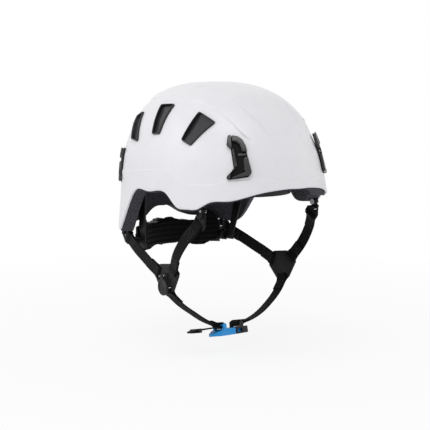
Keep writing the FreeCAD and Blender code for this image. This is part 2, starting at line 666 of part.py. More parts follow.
def pinion_profile():
    """Involute teeth; a tooth gap faces each rack tooth at rest."""
    radius = pitch_radius()
    base = radius * math.cos(math.radians(S.gear_angle))
    crest, root = radius + S.gear_module * S.tooth_high, radius - S.gear_module * S.tooth_root
    half = math.pi / (2 * S.pinion_teeth) - S.tooth_slack / (2 * radius)
    points = []
    for tooth in range(int(S.pinion_teeth)):
        middle = 2 * math.pi * (tooth + tooth_phase()) / S.pinion_teeth
        flank = []
        for step in range(5):
            reach = max(base, root) + (crest - max(base, root)) * step / 4
            flank.append((reach, half + involute(base / radius) - involute(min(base / reach, 1.0))))
        flank.insert(0, (root, flank[0][1]))
        turns = [(reach, middle - angle) for reach, angle in flank]
        turns += [(reach, middle + angle) for reach, angle in reversed(flank)]
        points += [Vector(reach * math.sin(angle), 0, reach * math.cos(angle)) for reach, angle in turns]
    return points


def tooth_phase():
    """Share of a tooth by which the pinion is turned so that it meshes with the racks at rest."""
    count = int(2 * S.rack_inside / (math.pi * S.gear_module))
    return 0.5 if count % 2 else 0.0


def axle_fit():
    return 0.05


def drive_pinion():
    points = pinion_profile()
    gear = fixed(Part.Face(Part.makePolygon(points + points[:1])).extrude(AXIS_Y * S.rack_thick))
    gear.translate(Vector(0, ratchet_face() + S.run_gap, ratchet_height()))
    shaft_end = cover_back() + 2.0
    start = Vector(0, ratchet_face() + S.run_gap, ratchet_height())
    shaft = Part.makeCylinder(S.axle_radius, shaft_end - start.y, start, AXIS_Y)
    bore = Part.makeCylinder(S.screw_radius, 30, start, AXIS_Y)
    return piece(feature("DrivePinion", gear.fuse(shaft).cut(bore)), "drive_pinion")


def cover_front():
    return ratchet_face() + housing_depth()


def cover_back():
    return cover_front() + S.cover_thick


def ratchet_cover():
    cover = centred_box("CoverPlate", "2 * housing_half", "cover_thick", "housing_high",
                        Placement(Vector(0, (cover_front() + cover_back()) / 2, ratchet_height()), Rotation()))
    bores = [Part.makeCylinder(S.screw_radius, 30, spot, AXIS_Y) for spot in screw_spots()]
    axle = Vector(0, ratchet_face(), ratchet_height())
    bores.append(Part.makeCylinder(S.axle_radius + axle_fit(), 30, axle, AXIS_Y))
    return piece(joined("Cut", "RatchetCover", cover, feature("CoverBores", Part.Compound(bores))),
                 "ratchet_cover")


def cover_screws():
    screws = []
    for spot in screw_spots():
        head_at = Vector(spot.x, cover_back(), spot.z)
        shank = Part.makeCylinder(S.screw_radius, cover_back() - spot.y, spot, AXIS_Y)
        head = Part.makeCylinder(S.screw_head, 1.2, head_at, AXIS_Y)
        screws.append(shank.fuse(head).cut(Part.makeBox(0.7, 1, 2 * S.screw_head + 1,
                                                        head_at + Vector(-0.35, 0.7, -S.screw_head - 0.5))))
    return piece(feature("CoverScrews", Part.Compound(screws)), "cover_screws")


def knob_front():
    return cover_back() + S.run_gap


def detent_ring():
    """Spring ring with two noses, held on the cover inside the knob's skirt."""
    start = Vector(0, cover_back(), ratchet_height())
    outer = S.knob_radius - S.knob_wall - 2.2
    ring = Part.makeCylinder(outer, 3.0, start, AXIS_Y).cut(Part.makeCylinder(outer - 1.4, 3.0, start, AXIS_Y))
    noses = [Part.makeCylinder(1.0, 3.0, start + AXIS_Z * side * (outer - 0.2), AXIS_Y) for side in (-1, 1)]
    return piece(feature("DetentSpring", ring.fuse(noses)), "detent_spring")


def ratchet_knob():
    """Hollow knob with a fluted grip, a boss on the pinion shaft and a counterbored screw hole."""
    body = doc.addObject("PartDesign::Body", "RatchetKnob")
    disc = body.newObject("PartDesign::AdditiveCylinder", "KnobDisc")
    bound(disc, Radius="knob_radius", Height="knob_thick")
    void = body.newObject("PartDesign::SubtractiveCylinder", "KnobVoid")
    bound(void, Radius="knob_radius - knob_wall", Height="knob_thick - knob_wall - 1")
    boss = body.newObject("PartDesign::AdditiveCylinder", "KnobBoss")
    bound(boss, Radius="axle_radius + 2.5", Height="knob_thick - 1")
    socket = body.newObject("PartDesign::SubtractiveCylinder", "KnobSocket")
    bound(socket, Radius="axle_radius", Height="2 - run_gap")
    bore = body.newObject("PartDesign::SubtractiveCylinder", "KnobBore")
    bound(bore, Radius="screw_radius", Height="knob_thick + 1")
    flute = body.newObject("PartDesign::SubtractiveCylinder", "KnobFlute")
    bound(flute, Radius="grip_radius", Height="knob_thick + 2")
    flute.Placement = Placement(Vector(S.knob_radius + 0.6, 0, -1), Rotation())
    flutes = body.newObject("PartDesign::PolarPattern", "KnobFlutes")
    axis = next(item for item in body.Origin.OriginFeatures if item.Role == "Z_Axis")
    flutes.Originals, flutes.Axis, flutes.Angle = [flute], (axis, [""]), 360
    bound(flutes, Occurrences="grip_count")
    body.Tip = flutes
    body.Placement = Placement(Vector(0, knob_front(), ratchet_height()), Rotation(AXIS_X, -90))
    return piece(body, "ratchet_knob")


def knob_screw():
    start = Vector(0, ratchet_face() + S.run_gap + 0.5, ratchet_height())
    end = knob_front() + S.knob_thick
    shank = Part.makeCylinder(S.screw_radius, end - start.y, start, AXIS_Y)
    head = Part.makeCylinder(S.screw_head + 0.6, 1.3, Vector(0, end, ratchet_height()), AXIS_Y)
    slot = Part.makeBox(0.8, 1, 10, Vector(-0.4, end + 0.7, ratchet_height() - 5))
    return piece(feature("KnobScrew", shank.fuse(head).cut(slot)), "knob_screw")


# ---------------------------------------------------------------- strap anchors

def front_pin():
    return Vector(-S.front_pin_out, -S.front_pin_ahead, S.front_pin_high)


def rear_pin():
    return Vector(-S.rear_pin_out, S.rear_pin_behind, S.rear_pin_high)


def swing_axes():
    """Unit directions of the right-hand harness: forward along its hinge, upward, and outward."""
    forward = (front_pin() - rear_pin()).normalize()
    outward = (AXIS_X * -1 - forward * (AXIS_X * -1).dot(forward)).normalize()
    return forward, outward.cross(forward), outward


def bracket_places():
    """Frames of the two right-hand brackets: X forward along the hinge, Y up, Z outward."""
    forward, upward, outward = swing_axes()
    return {"front": frame_place(front_pin(), forward, upward), "rear": frame_place(rear_pin(), forward, upward)}


def knuckle_radius():
    """Outer radius of a bracket's knuckle round the hook pin."""
    return S.hook_radius + S.hook_fit + 1.3


def bridge_low():
    """Height of a bracket's bridge over its pin."""
    return knuckle_radius() + 1.5


def bracket_envelope(place):
    """Pocket that a bracket and its rivet need in the liner."""
    long = S.bridge_long + 0.6
    rivet_top = S.bridge_high / 2 + max(S.bridge_high / 2, S.rivet_radius)
    high = bridge_low() + rivet_top + 0.3 + knuckle_radius()
    deep = S.bridge_deep + S.rivet_head + 0.6
    block = Part.makeBox(long, high, deep, Vector(-long / 2, -knuckle_radius(), 0.3 + S.bridge_deep / 2 - deep))
    block.Placement = place.multiply(block.Placement)
    return block


def strap_bracket(name):
    """Bracket under the rim: a bridge over one knuckle, in which a strap's link turns."""
    under, deep, wide, tip = bridge_low(), S.bridge_deep, S.knuckle_wide, knuckle_radius()
    bridge = Part.makeBox(S.bridge_long, S.bridge_high, deep, Vector(-S.bridge_long / 2, under, -deep / 2))
    column = Part.makeBox(wide, under + 0.5, deep, Vector(-wide / 2, 0, -deep / 2))
    knuckle = Part.makeCylinder(tip, wide, Vector(-wide / 2, 0, 0), AXIS_X)
    bore = Part.makeCylinder(S.hook_radius + S.hook_fit, wide + 2, Vector(-wide / 2 - 1, 0, 0), AXIS_X)
    hole = Part.makeCylinder(S.rivet_radius * 0.45, deep, Vector(0, under + S.bridge_high / 2, -deep / 2), AXIS_Z)
    bracket = bridge.fuse([column, knuckle]).cut([bore, hole]).removeSplitter()
    item = feature(f"Bracket{name.title()}", bracket)
    item.Placement = bracket_places()[name]
    return pair(item, f"strap_bracket_{name}")


def bracket_rivets():
    """Round rivets that close the brackets from the inner side."""
    rivets = []
    for place in bracket_places().values():
        spot = Vector(0, bridge_low() + S.bridge_high / 2, -S.bridge_deep / 2)
        shaft = Part.makeCylinder(S.rivet_radius * 0.45, S.bridge_deep, spot, AXIS_Z)
        head = Part.makeCylinder(S.rivet_radius, S.rivet_head, spot - AXIS_Z * S.rivet_head, AXIS_Z)
        rivet = shaft.fuse(head)
        rivet.Placement = place
        rivets += both_sides(rivet)
    return piece(feature("BracketRivets", Part.Compound(rivets)), "bracket_rivets")


# ---------------------------------------------------------------- harness

def adjuster_place():
    """Frame of the right-hand adjuster: X forward along the hinge, Y up, Z outward."""
    forward, upward, outward = swing_axes()
    return frame_place(Vector(-S.frame_out, -S.frame_ahead, S.frame_low), forward, upward)


def bar_spots():
    """Middles of the adjuster's strap bars in its own frame."""
    return {"front": Vector(S.front_bar_ahead, S.side_bar_high, 0),
            "rear": Vector(-S.rear_bar_behind, S.side_bar_high + 1.0, 0),
            "chin": Vector(0, -S.chin_bar_low, 0)}


def strap_way(name):
    """Flat direction, in the adjuster's frame, in which a strap leaves its bar."""
    if name == "chin":
        return Vector(0, -1, 0)
    spot = adjuster_place().inverse().multVec(bracket_places()[name].Base)
    way = spot - bar_spots()[name]
    way.z = 0
    return way.normalize()


def bar_loop(thick):
    """Inner radius of a loop round a square bar."""
    return math.hypot(thick, thick) / 2 + 0.2


def slot_room(thick):
    """Width of the slot beside a square bar that takes the webbing loop."""
    return bar_loop(thick) + S.web_thick + S.web_fit - thick / 2


def slotted_bar(spot, way, thick, wide, side):
    """Corners outside a bar and the slot inside it, for a plate in the XY plane."""
    across = Vector(-way.y, way.x, 0)
    half = wide / 2 + S.web_fit
    deep = thick / 2 + slot_room(thick) + side
    corners = [spot + way * reach + across * (sign * (half + side))
               for sign in (-1, 1) for reach in (thick / 2, -deep)]
    low, high = spot - way * (thick / 2), spot - way * (thick / 2 + slot_room(thick))
    ring = [low - across * half, low + across * half, high + across * half, high - across * half]
    slot = Part.Face(Part.makePolygon(ring + ring[:1]))
    slot.translate(AXIS_Z * -10)
    return corners, slot.extrude(AXIS_Z * 20)


def hull(points):
    """Corners of the convex outline round points in the XY plane."""
    points = sorted(points, key=lambda spot: (spot.x, spot.y))
    chains = []
    for run in (points, points[::-1]):
        chain = []
        for spot in run:
            while len(chain) > 1 and (chain[-1] - chain[-2]).cross(spot - chain[-2]).z <= 0:
                chain.pop()
            chain.append(spot)
        chains += chain[:-1]
    return chains


def flat_plate(corners, thick, rounding):
    """Plate in the XY plane with rounded corners."""
    corners = hull(corners)
    face = Part.Face(Part.makePolygon(corners + corners[:1]))
    face.translate(AXIS_Z * (-thick / 2))
    plate = fixed(face.extrude(AXIS_Z * thick))
    upright = [edge for edge in plate.Edges if abs(edge.tangentAt(edge.FirstParameter).z) > 0.99]
    return plate.makeFillet(rounding, upright)


def link_reach():
    """Distance from a hook pin to the strap bar of its link."""
    return S.link_neck + slot_room(S.link_thick) + S.link_thick / 2


def strap_link(name):
    """Fork that turns in a bracket's knuckle on its own pin; its strap bar is square to the strap."""
    way = strap_way(name) * -1
    corners, slot = slotted_bar(way * link_reach(), way, S.link_thick, S.web_wide, S.link_side)
    inside = S.knuckle_wide / 2 + S.run_gap
    outside = inside + S.link_ear
    corners += [Vector(side * outside, S.hook_radius + 0.7, 0) for side in (-1, 1)]
    plate = flat_plate(corners, S.link_thick, 1.0)
    notch = Part.makeBox(2 * inside, 60, 30, Vector(-inside, -knuckle_radius() - 0.5, -15))
    pin = Part.makeCylinder(S.hook_radius, 2 * outside, Vector(-outside, 0, 0), AXIS_X)
    item = feature(f"Link{name.title()}", plate.cut([slot, notch]).fuse(pin).removeSplitter())
    item.Placement = bracket_places()[name]
    return pair(item, f"strap_link_{name}")


def bowed_band(start, end, along, outside, bow):
    """Webbing between two bars: an arc that bows to one side, extruded along the bars."""
    way = end - start
    outward = way.cross(along).normalize()
    if outward.dot(outside) < 0:
        outward = outward * -1
    chord = way.Length
    radius = (chord ** 2 / 4 + bow ** 2) / (2 * bow)
    centre = start + way * 0.5 - outward * (radius - bow)
    spread = math.asin(chord / 2 / radius)
    arcs, spots = [], []
    for reach in (radius + S.web_thick / 2, radius - S.web_thick / 2):
        spots.append([centre + (outward * math.cos(angle) + way.normalize() * math.sin(angle)) * reach
                      for angle in (-spread, 0.0, spread)])
        arcs.append(Part.Arc(*spots[-1]).toShape())
    ends = [Part.makeLine(spots[0][index], spots[1][index]) for index in (0, 2)]
    face = Part.Face(Part.Wire([arcs[0], ends[1], arcs[1], ends[0]]))
    face.translate(along * (-S.web_wide / 2))
    return fixed(face.extrude(along * S.web_wide))


def loop_pair(spot, along, wide, inner):
    """Outer and inner cylinders of a webbing loop round a bar."""
    base = spot - along * (wide / 2)
    return (Part.makeCylinder(inner + S.web_thick, wide, base, along),
            Part.makeCylinder(inner, wide + 8, base - along * 4, along))


def side_strap(name, bow):
    """Webbing from a link's bar to the adjuster's bar for that strap."""
    place, way = adjuster_place(), strap_way(name)
    along = place.Rotation.multVec(Vector(-way.y, way.x, 0))
    top = bracket_places()[name].multVec(way * -link_reach())
    bar = place.multVec(bar_spots()[name])
    outer_top, inner_top = loop_pair(top, along, S.web_wide, bar_loop(S.link_thick))
    outer_bar, inner_bar = loop_pair(bar, along, S.web_wide, bar_loop(S.frame_bar))
    band = bowed_band(top, bar, along, swing_axes()[2], bow)
    strap = band.fuse([outer_top, outer_bar]).cut([inner_top, inner_bar]).removeSplitter()
    return pair(feature(f"Strap{name.title()}", strap), f"{name}_strap")


def adjuster_frame():
    """Plate with a strap bar at the front, the rear and below, and two lugs for its lever."""
    corners, slots = [], []
    for name, spot in bar_spots().items():
        ends, slot = slotted_bar(spot, strap_way(name), S.frame_bar, S.web_wide, S.frame_side)
        corners += ends
        slots.append(slot)
    plate = flat_plate(corners, S.frame_thick, S.frame_round)
    near = S.knuckle_long / 2 + S.lug_clear
    lugs = [Part.makeBox(S.lug_wide, S.lug_long, lever_rise() + 0.2,
                         Vector(start, lever_height() - S.lug_long / 2, 0))
            for start in (lever_middle() - near - S.lug_wide, lever_middle() + near)]
    bore = Part.makeCylinder(S.lever_pin, 30, Vector(-20, lever_height(), lever_rise()), AXIS_X)
    plate = plate.fuse(lugs).cut(slots + [bore]).removeSplitter()
    item = feature("AdjusterFrame", plate)
    item.Placement = adjuster_place()
    return pair(item, "adjuster_frame")


def lever_height():
    return S.side_bar_high - 4.0


def lever_middle():
    """The lever stands towards the rear of the frame."""
    return -S.lever_back


def lever_rise():
    """Height of the lever's pin over the plate's middle plane."""
    return S.frame_thick / 2 + S.lug_rise


def lever_pin():
    long = "knuckle_long + 2 * (lug_wide + lug_clear)"
    pin = solid("Cylinder", "LeverPin", Radius="lever_pin", Height=long)
    start = lever_middle() - S.knuckle_long / 2 - S.lug_clear - S.lug_wide
    pin.Placement = adjuster_place().multiply(
        Placement(Vector(start, lever_height(), lever_rise()), Rotation(AXIS_Y, 90)))
    return pair(pin, "lever_pin")


def adjuster_lever():
    """Round cam lever with a knuckle between the frame's lugs; it stands over the chin strap's loop."""
    rise = bar_loop(S.frame_bar) + S.web_thick + 0.4
    middle = lever_middle()
    disc = Part.makeCylinder(S.lever_radius, S.lever_thick,
                             Vector(middle, lever_height() - S.lever_radius - 3.2, rise), AXIS_Z)
    side = middle - S.knuckle_long / 2
    neck = Part.makeBox(S.knuckle_long, 7.0, S.lever_thick, Vector(side, lever_height() - 6.4, rise))
    knuckle = Part.makeCylinder(2.0, S.knuckle_long, Vector(side, lever_height(), lever_rise()), AXIS_X)
    bore = Part.makeCylinder(S.lever_pin + 0.06, 20, Vector(-14, lever_height(), lever_rise()), AXIS_X)
    lever = disc.fuse([neck, knuckle]).cut(bore).removeSplitter()
    item = feature("AdjusterLever", lever)
    item.Placement = adjuster_place()
    return pair(item, "adjuster_lever")


# ---------------------------------------------------------------- chin straps and buckle

def buckle_axes():
    """Rearward and upward directions of the buckle, level across the chin."""
    forward = swing_axes()[0]
    rearward = Vector(0, -forward.y, -forward.z).normalize()
    return rearward, AXIS_X.cross(rearward)


def buckle_place():
    """Frame at the closed joint of the buckle: X to the wearer's left, Y rearward, Z up."""
    rearward, upward = buckle_axes()
    start, along = adjuster_place().multVec(bar_spots()["chin"]), swing_axes()[0]
    spot = Vector(S.buckle_side, 0, S.buckle_drop)
    reach = S.frame_out - (S.body_bar + S.frame_bar_reach) / 2
    bar_high = S.buckle_drop + S.bar_lift * upward.z
    spot.y = start.y - (reach * along.x + (bar_high - start.z) * along.z) / along.y - S.bar_lift * upward.y
    return frame_place(spot, AXIS_X, rearward)


def buckle_loop():
    """Inner radius of the webbing loops on the buckle's bars, with room for their slight skew."""
    return S.hook_radius + 1.0


def chin_strap(label, place, bar, bow):
    """Webbing from an adjuster's lower bar to a bar of the buckle."""
    along = place.Rotation.multVec(AXIS_X)
    start = place.multVec(bar_spots()["chin"])
    end = bar - along * (bar - start).dot(along)
    outer_top, inner_top = loop_pair(start, along, S.web_wide, bar_loop(S.frame_bar))
    outer_end, inner_end = loop_pair(end, along, S.web_wide, buckle_loop())
    strap = bowed_band(start, end, along, AXIS_Z * -1, bow).fuse([outer_top, outer_end]).cut([inner_top, inner_end])
    return piece(feature(label.title().replace("_", ""), strap.removeSplitter()), label)


def flipped(way):
    """The same place or direction on the other side of the head."""
    return Vector(-way.x, way.y, way.z)


def chin_straps():
    forward, upward, _ = swing_axes()
    right = adjuster_place()
    left = frame_place(flipped(right.Base), flipped(forward), flipped(upward))
    place = buckle_place()
    chin_strap("chin_strap_right", right, place.multVec(Vector(-S.body_bar, 0, S.bar_lift)), S.chin_bow)
    chin_strap("chin_strap_left", left, place.multVec(Vector(S.frame_bar_reach, 0, S.bar_lift)),
               S.chin_bow_long)


def saddle(middle):
    """Two ears and the raised strap bar on top of a buckle half."""
    half = S.buckle_deep / 2
    ears = []
    for side in (-half, half - 1.8):
        ear = Part.makeBox(5.0, 1.8, S.bar_lift + 1.0, Vector(middle - 2.5, side, 0))
        ears.append(ear.fuse(Part.makeCylinder(2.5, 1.8, Vector(middle, side, S.bar_lift), AXIS_Y)))
    bar = Part.makeCylinder(S.hook_radius, 2 * half, Vector(middle, -half, S.bar_lift), AXIS_Y)
    return ears + [bar]


def buckle_body():
    """Wing-shaped half: a block pointed at its outer end, a raised strap bar and seats for the prongs."""
    half, high = S.buckle_deep / 2, S.buckle_high
    long, point = S.buckle_body_long, S.buckle_body_long * 0.3
    plan = [Vector(-0.4, -half, 0), Vector(-0.4, half, 0), Vector(point - long, half, 0),
            Vector(-long, half * 0.35, 0), Vector(-long, -half * 0.35, 0), Vector(point - long, -half, 0)]
    block = Part.Face(Part.makePolygon(plan + plan[:1]))
    block.translate(AXIS_Z * (-high / 2))
    block = fixed(block.extrude(AXIS_Z * high))
    seats = [Part.makeBox(3.4, S.prong_wide + 0.4, high * 0.6 + 0.4, Vector(-3.8, side, -high * 0.3 - 0.2))
             for side in (prong_inner() - 0.2, -S.prong_out - 0.2)]
    item = feature("BuckleBody", block.fuse(saddle(-S.body_bar)).cut(seats).removeSplitter())
    item.Placement = buckle_place()
    return piece(item, "buckle_body")


def prong_inner():
    return S.prong_out - S.prong_wide


def buckle_prong(side, label):
    """Springy prong whose flank shows in the frame's side window."""
    low = prong_inner() if side > 0 else -S.prong_out
    thick = S.buckle_high * 0.6
    prong = Part.makeBox(S.prong_long + 3.4, S.prong_wide, thick, Vector(-3.4, low, -thick / 2))
    item = feature(label.title().replace("_", ""), prong)
    item.Placement = buckle_place()
    return piece(item, label)


def buckle_frame():
    """Open frame: two windowed rails, a solid end and the raised strap bar."""
    inner, half, high = S.prong_out + S.prong_fit, S.buckle_deep / 2, S.buckle_high
    long = S.buckle_frame_long - S.buckle_gap
    block = Part.makeBox(long, 2 * half, high, Vector(S.buckle_gap, -half, -high / 2))
    mouth = Part.makeBox(S.prong_long + 0.8, 2 * inner, 2 * high, Vector(-0.2, -inner, -high))
    windows = Part.makeBox(S.prong_long - 4.0, 4 * half, high * 0.55, Vector(3.0, -2 * half, -high * 0.275))
    item = feature("BuckleFrame", block.fuse(saddle(S.frame_bar_reach)).cut([mouth, windows]).removeSplitter())
    item.Placement = buckle_place()
    return piece(item, "buckle_frame")


def tail_level():
    """Height of the loose end over the buckle's middle: just under the chin strap's end."""
    return S.bar_lift - S.web_thick - 0.4


def tail_middle_reach():
    """The loose end starts beside the webbing loop on the strap bar."""
    return -S.body_bar - buckle_loop() - S.web_thick - 0.3 - S.loose_end / 2


def strap_tail():
    """Loose end of the chin strap, lying level beyond the buckle."""
    tail = centred_box("StrapTail", "loose_end", "web_wide", "web_thick", buckle_place(),
                       (tail_middle_reach(), 0, tail_level()))
    return piece(tail, "strap_tail")


def strap_keeper():
    """Small loop that holds the loose end."""
    start = (tail_middle_reach() - S.loose_end * 0.3, 0, tail_level())
    outer = centred_box("KeeperOuter", "4", "web_wide + 4.4", "web_thick + 3.4", buckle_place(), start)
    inner = centred_box("KeeperInner", "6", "web_wide + 0.6", "web_thick + 0.6", buckle_place(), start)
    return piece(joined("Cut", "StrapKeeper", outer, inner), "strap_keeper")


# ---------------------------------------------------------------- build and export

def build():
    outer_shell()
    impact_liner()
    for name, corners in VENTS.items():
        vent_tray(name, corners)
    for name, corners in CLIPS.items():
        lamp_clip(name, corners)
    front_headband()
    forehead_pad()
    crown_pad()
    headband_plugs()
    side_arm()
    arm_pivots()
    nape_cradle()
    nape_pad()
    band_strip()
    ratchet_housing()
    band_racks()
    drive_pinion()
    ratchet_cover()
    cover_screws()
    detent_ring()
    ratchet_knob()
    knob_screw()
    for name in ("front", "rear"):
        strap_bracket(name)
    bracket_rivets()
    for name, bow in (("front", S.front_bow), ("rear", S.rear_bow)):
        strap_link(name)
        side_strap(name, bow)
    adjuster_frame()
    lever_pin()
    adjuster_lever()
    chin_straps()
    buckle_body()
    buckle_prong(-1, "buckle_prong_front")
    buckle_prong(1, "buckle_prong_rear")
    buckle_frame()
    strap_tail()
    strap_keeper()


def checked():
    """Stop when any object of the document has failed."""
    doc.recompute()
    bad = [item.Label for item in doc.Objects if {"Invalid", "Error"} & set(item.State)]
    bad += [item.Label for item in pieces
            if item.Shape.isNull() or not item.Shape.isValid() or item.Shape.Volume <= 0]
    if bad:
        raise RuntimeError(f"failed objects: {sorted(set(bad))}")


def export():
    os.makedirs("parts", exist_ok=True)
    for item in pieces:
        item.Shape.exportStep(f"parts/{item.Label}.step")
        print(f"{item.Label:24s} solids {len(item.Shape.Solids)}  volume {item.Shape.Volume:10.1f}")


build()
checked()
export()
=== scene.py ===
"""Looks of a vented safety helmet with a chin harness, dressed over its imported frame.

The front of the helmet faces -Y and the wearer's left is +X. Shapes are worked out in
millimetres and turned to metres when a piece is finished.
"""
from __future__ import annotations

import json
import logging
import math
from dataclasses import dataclass, field
from enum import Enum
from typing import Callable, Iterable, Sequence

import bmesh
import bpy
from mathutils import Matrix, Vector

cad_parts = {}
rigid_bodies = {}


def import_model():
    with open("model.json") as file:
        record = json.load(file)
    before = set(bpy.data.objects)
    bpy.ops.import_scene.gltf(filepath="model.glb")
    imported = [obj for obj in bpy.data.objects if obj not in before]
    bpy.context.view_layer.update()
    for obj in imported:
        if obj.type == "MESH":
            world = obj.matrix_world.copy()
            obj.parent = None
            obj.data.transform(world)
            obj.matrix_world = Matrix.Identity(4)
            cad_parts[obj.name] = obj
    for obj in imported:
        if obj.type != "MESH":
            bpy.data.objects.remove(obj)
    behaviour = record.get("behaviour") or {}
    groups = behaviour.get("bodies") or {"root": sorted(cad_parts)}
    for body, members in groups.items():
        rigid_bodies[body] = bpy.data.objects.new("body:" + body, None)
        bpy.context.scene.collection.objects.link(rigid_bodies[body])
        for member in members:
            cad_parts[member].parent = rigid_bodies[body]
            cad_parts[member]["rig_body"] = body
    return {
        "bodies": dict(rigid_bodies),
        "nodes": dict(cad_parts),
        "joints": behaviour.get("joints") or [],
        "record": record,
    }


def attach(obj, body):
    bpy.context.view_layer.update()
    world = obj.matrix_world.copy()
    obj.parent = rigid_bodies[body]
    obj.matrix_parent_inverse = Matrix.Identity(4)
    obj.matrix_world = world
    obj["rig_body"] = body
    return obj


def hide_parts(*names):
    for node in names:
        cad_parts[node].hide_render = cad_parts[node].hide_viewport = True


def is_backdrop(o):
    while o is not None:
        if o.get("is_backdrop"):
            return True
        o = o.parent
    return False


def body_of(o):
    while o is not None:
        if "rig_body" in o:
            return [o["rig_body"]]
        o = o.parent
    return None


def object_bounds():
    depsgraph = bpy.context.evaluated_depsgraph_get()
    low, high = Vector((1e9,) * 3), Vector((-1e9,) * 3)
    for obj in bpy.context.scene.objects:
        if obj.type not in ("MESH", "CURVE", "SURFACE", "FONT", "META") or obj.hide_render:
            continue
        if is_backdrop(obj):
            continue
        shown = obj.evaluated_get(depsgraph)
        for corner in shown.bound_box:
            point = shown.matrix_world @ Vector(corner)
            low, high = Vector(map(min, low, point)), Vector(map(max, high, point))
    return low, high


log = logging.getLogger("helmet")

MM = 0.001
UP = Vector((0.0, 0.0, 1.0))


class Side(Enum):
    """The wearer's two sides, with the sign of X on each."""

    RIGHT = -1
    LEFT = 1

    @property
    def word(self) -> str:
        """Ending that the side gives to a node's name."""
        return self.name.lower()


# ---------------------------------------------------------------- small tools

def linear_colour(code: str) -> tuple[float, float, float, float]:
    """Turn an sRGB hex colour into linear light.

    Args:
        code: six hex digits after a hash sign.

    Returns:
        Red, green, blue and an alpha of one.
    """
    channels = [int(code[start:start + 2], 16) / 255 for start in (1, 3, 5)]
    light = [value / 12.92 if value <= 0.04045 else ((value + 0.055) / 1.055) ** 2.4 for value in channels]
    return light[0], light[1], light[2], 1.0


def smooth_step(value: float, width: float) -> float:
    """Rise from 0 to 1 while value goes from minus to plus half of width."""
    share = min(max(value / width + 0.5, 0.0), 1.0)
    return share * share * (3 - 2 * share)


def add_node(tree: bpy.types.NodeTree, kind: str, settings: dict | None = None,
             inputs: dict | None = None) -> bpy.types.Node:
    """Add one shader node with its settings, values and links.

    Args:
        tree: the node tree that gets the node.
        kind: the node's type.
        settings: attributes of the node.
        inputs: socket name or number to a value, or to the socket that feeds it.

    Returns:
        The new node.
    """
    item = tree.nodes.new(kind)
    for name, value in (settings or {}).items():
        setattr(item, name, value)
    for name, value in (inputs or {}).items():
        if isinstance(value, bpy.types.NodeSocket):
            tree.links.new(value, item.inputs[name])
        else:
            item.inputs[name].default_value = value
    return item


# ---------------------------------------------------------------- finishes

@dataclass(frozen=True)
class Finish:
    """A surface: its colour, gloss and the way it was made."""

    name: str
    colour: str
    roughness: float
    slot: str
    ior: float = 1.5
    metallic: float = 0.0
    sheen: float = 0.0
    edge_round: float = 0.0
    shine: float = 0.5

    def build(self) -> bpy.types.Material:
        """Make the node material of this finish.

        Returns:
            The material, whose pattern reads object coordinates or the piece's own UV map.
        """
        material = bpy.data.materials.new(self.name)
        material.use_nodes = True
        tree = material.node_tree
        tree.nodes.clear()
        shader = add_node(tree, "ShaderNodeBsdfPrincipled", inputs={
            "Base Color": linear_colour(self.colour), "Roughness": self.roughness, "IOR": self.ior,
            "Metallic": self.metallic, "Sheen Weight": self.sheen, "Specular IOR Level": self.shine})
        add_node(tree, "ShaderNodeOutputMaterial", inputs={"Surface": shader.outputs[0]})
        self.detail(tree, shader)
        return material

    def detail(self, tree: bpy.types.NodeTree, shader: bpy.types.Node) -> None:
        """Add the finish's own pattern; each kind of finish has one."""

    def tint(self, tree: bpy.types.NodeTree, shader: bpy.types.Node, factor: bpy.types.NodeSocket,
             other: str) -> None:
        """Blend the colour towards another one.

        Args:
            tree: the node tree.
            shader: the surface shader.
            factor: socket that says where the other colour shows.
            other: the other colour, in hex.
        """
        base = shader.inputs["Base Color"]
        start = base.links[0].from_socket if base.is_linked else linear_colour(self.colour)
        mix = add_node(tree, "ShaderNodeMix", {"data_type": "RGBA"},
                       {0: factor, 6: start, 7: linear_colour(other)})
        tree.links.new(mix.outputs[2], base)

    def worn_edges(self, tree: bpy.types.NodeTree, shader: bpy.types.Node, other: str,
                   amount: float) -> None:
        """Paint a highlight on sharp edges, where they catch the light.

        Args:
            tree: the node tree.
            shader: the surface shader.
            other: colour of the painted edge highlight, in hex.
            amount: how far the colour goes there, up to 1.
        """
        shape = add_node(tree, "ShaderNodeNewGeometry")
        # Painted highlight: pointiness lightens sharp edges towards the highlight colour.
        edge = add_node(tree, "ShaderNodeMapRange", inputs={
            "Value": shape.outputs["Pointiness"], "From Min": 0.56, "From Max": 0.72, "To Max": amount})
        self.tint(tree, shader, edge.outputs[0], other)

    def raise_grain(self, tree: bpy.types.NodeTree, shader: bpy.types.Node, height: bpy.types.NodeSocket,
                    depth_mm: float, strength: float = 1.0) -> None:
        """Give the surface a bump over its softly rounded edges.

        Args:
            tree: the node tree.
            shader: the surface shader.
            height: socket with the pattern's height, 0 to 1.
            depth_mm: real depth of the pattern.
            strength: how much of it shows.
        """
        inputs = {"Height": height, "Distance": depth_mm * MM, "Strength": strength}
        if self.edge_round:
            rounding = add_node(tree, "ShaderNodeBevel", {"samples": 4}, {"Radius": self.edge_round * MM})
            inputs["Normal"] = rounding.outputs[0]
        bump = add_node(tree, "ShaderNodeBump", inputs=inputs)
        tree.links.new(bump.outputs[0], shader.inputs["Normal"])


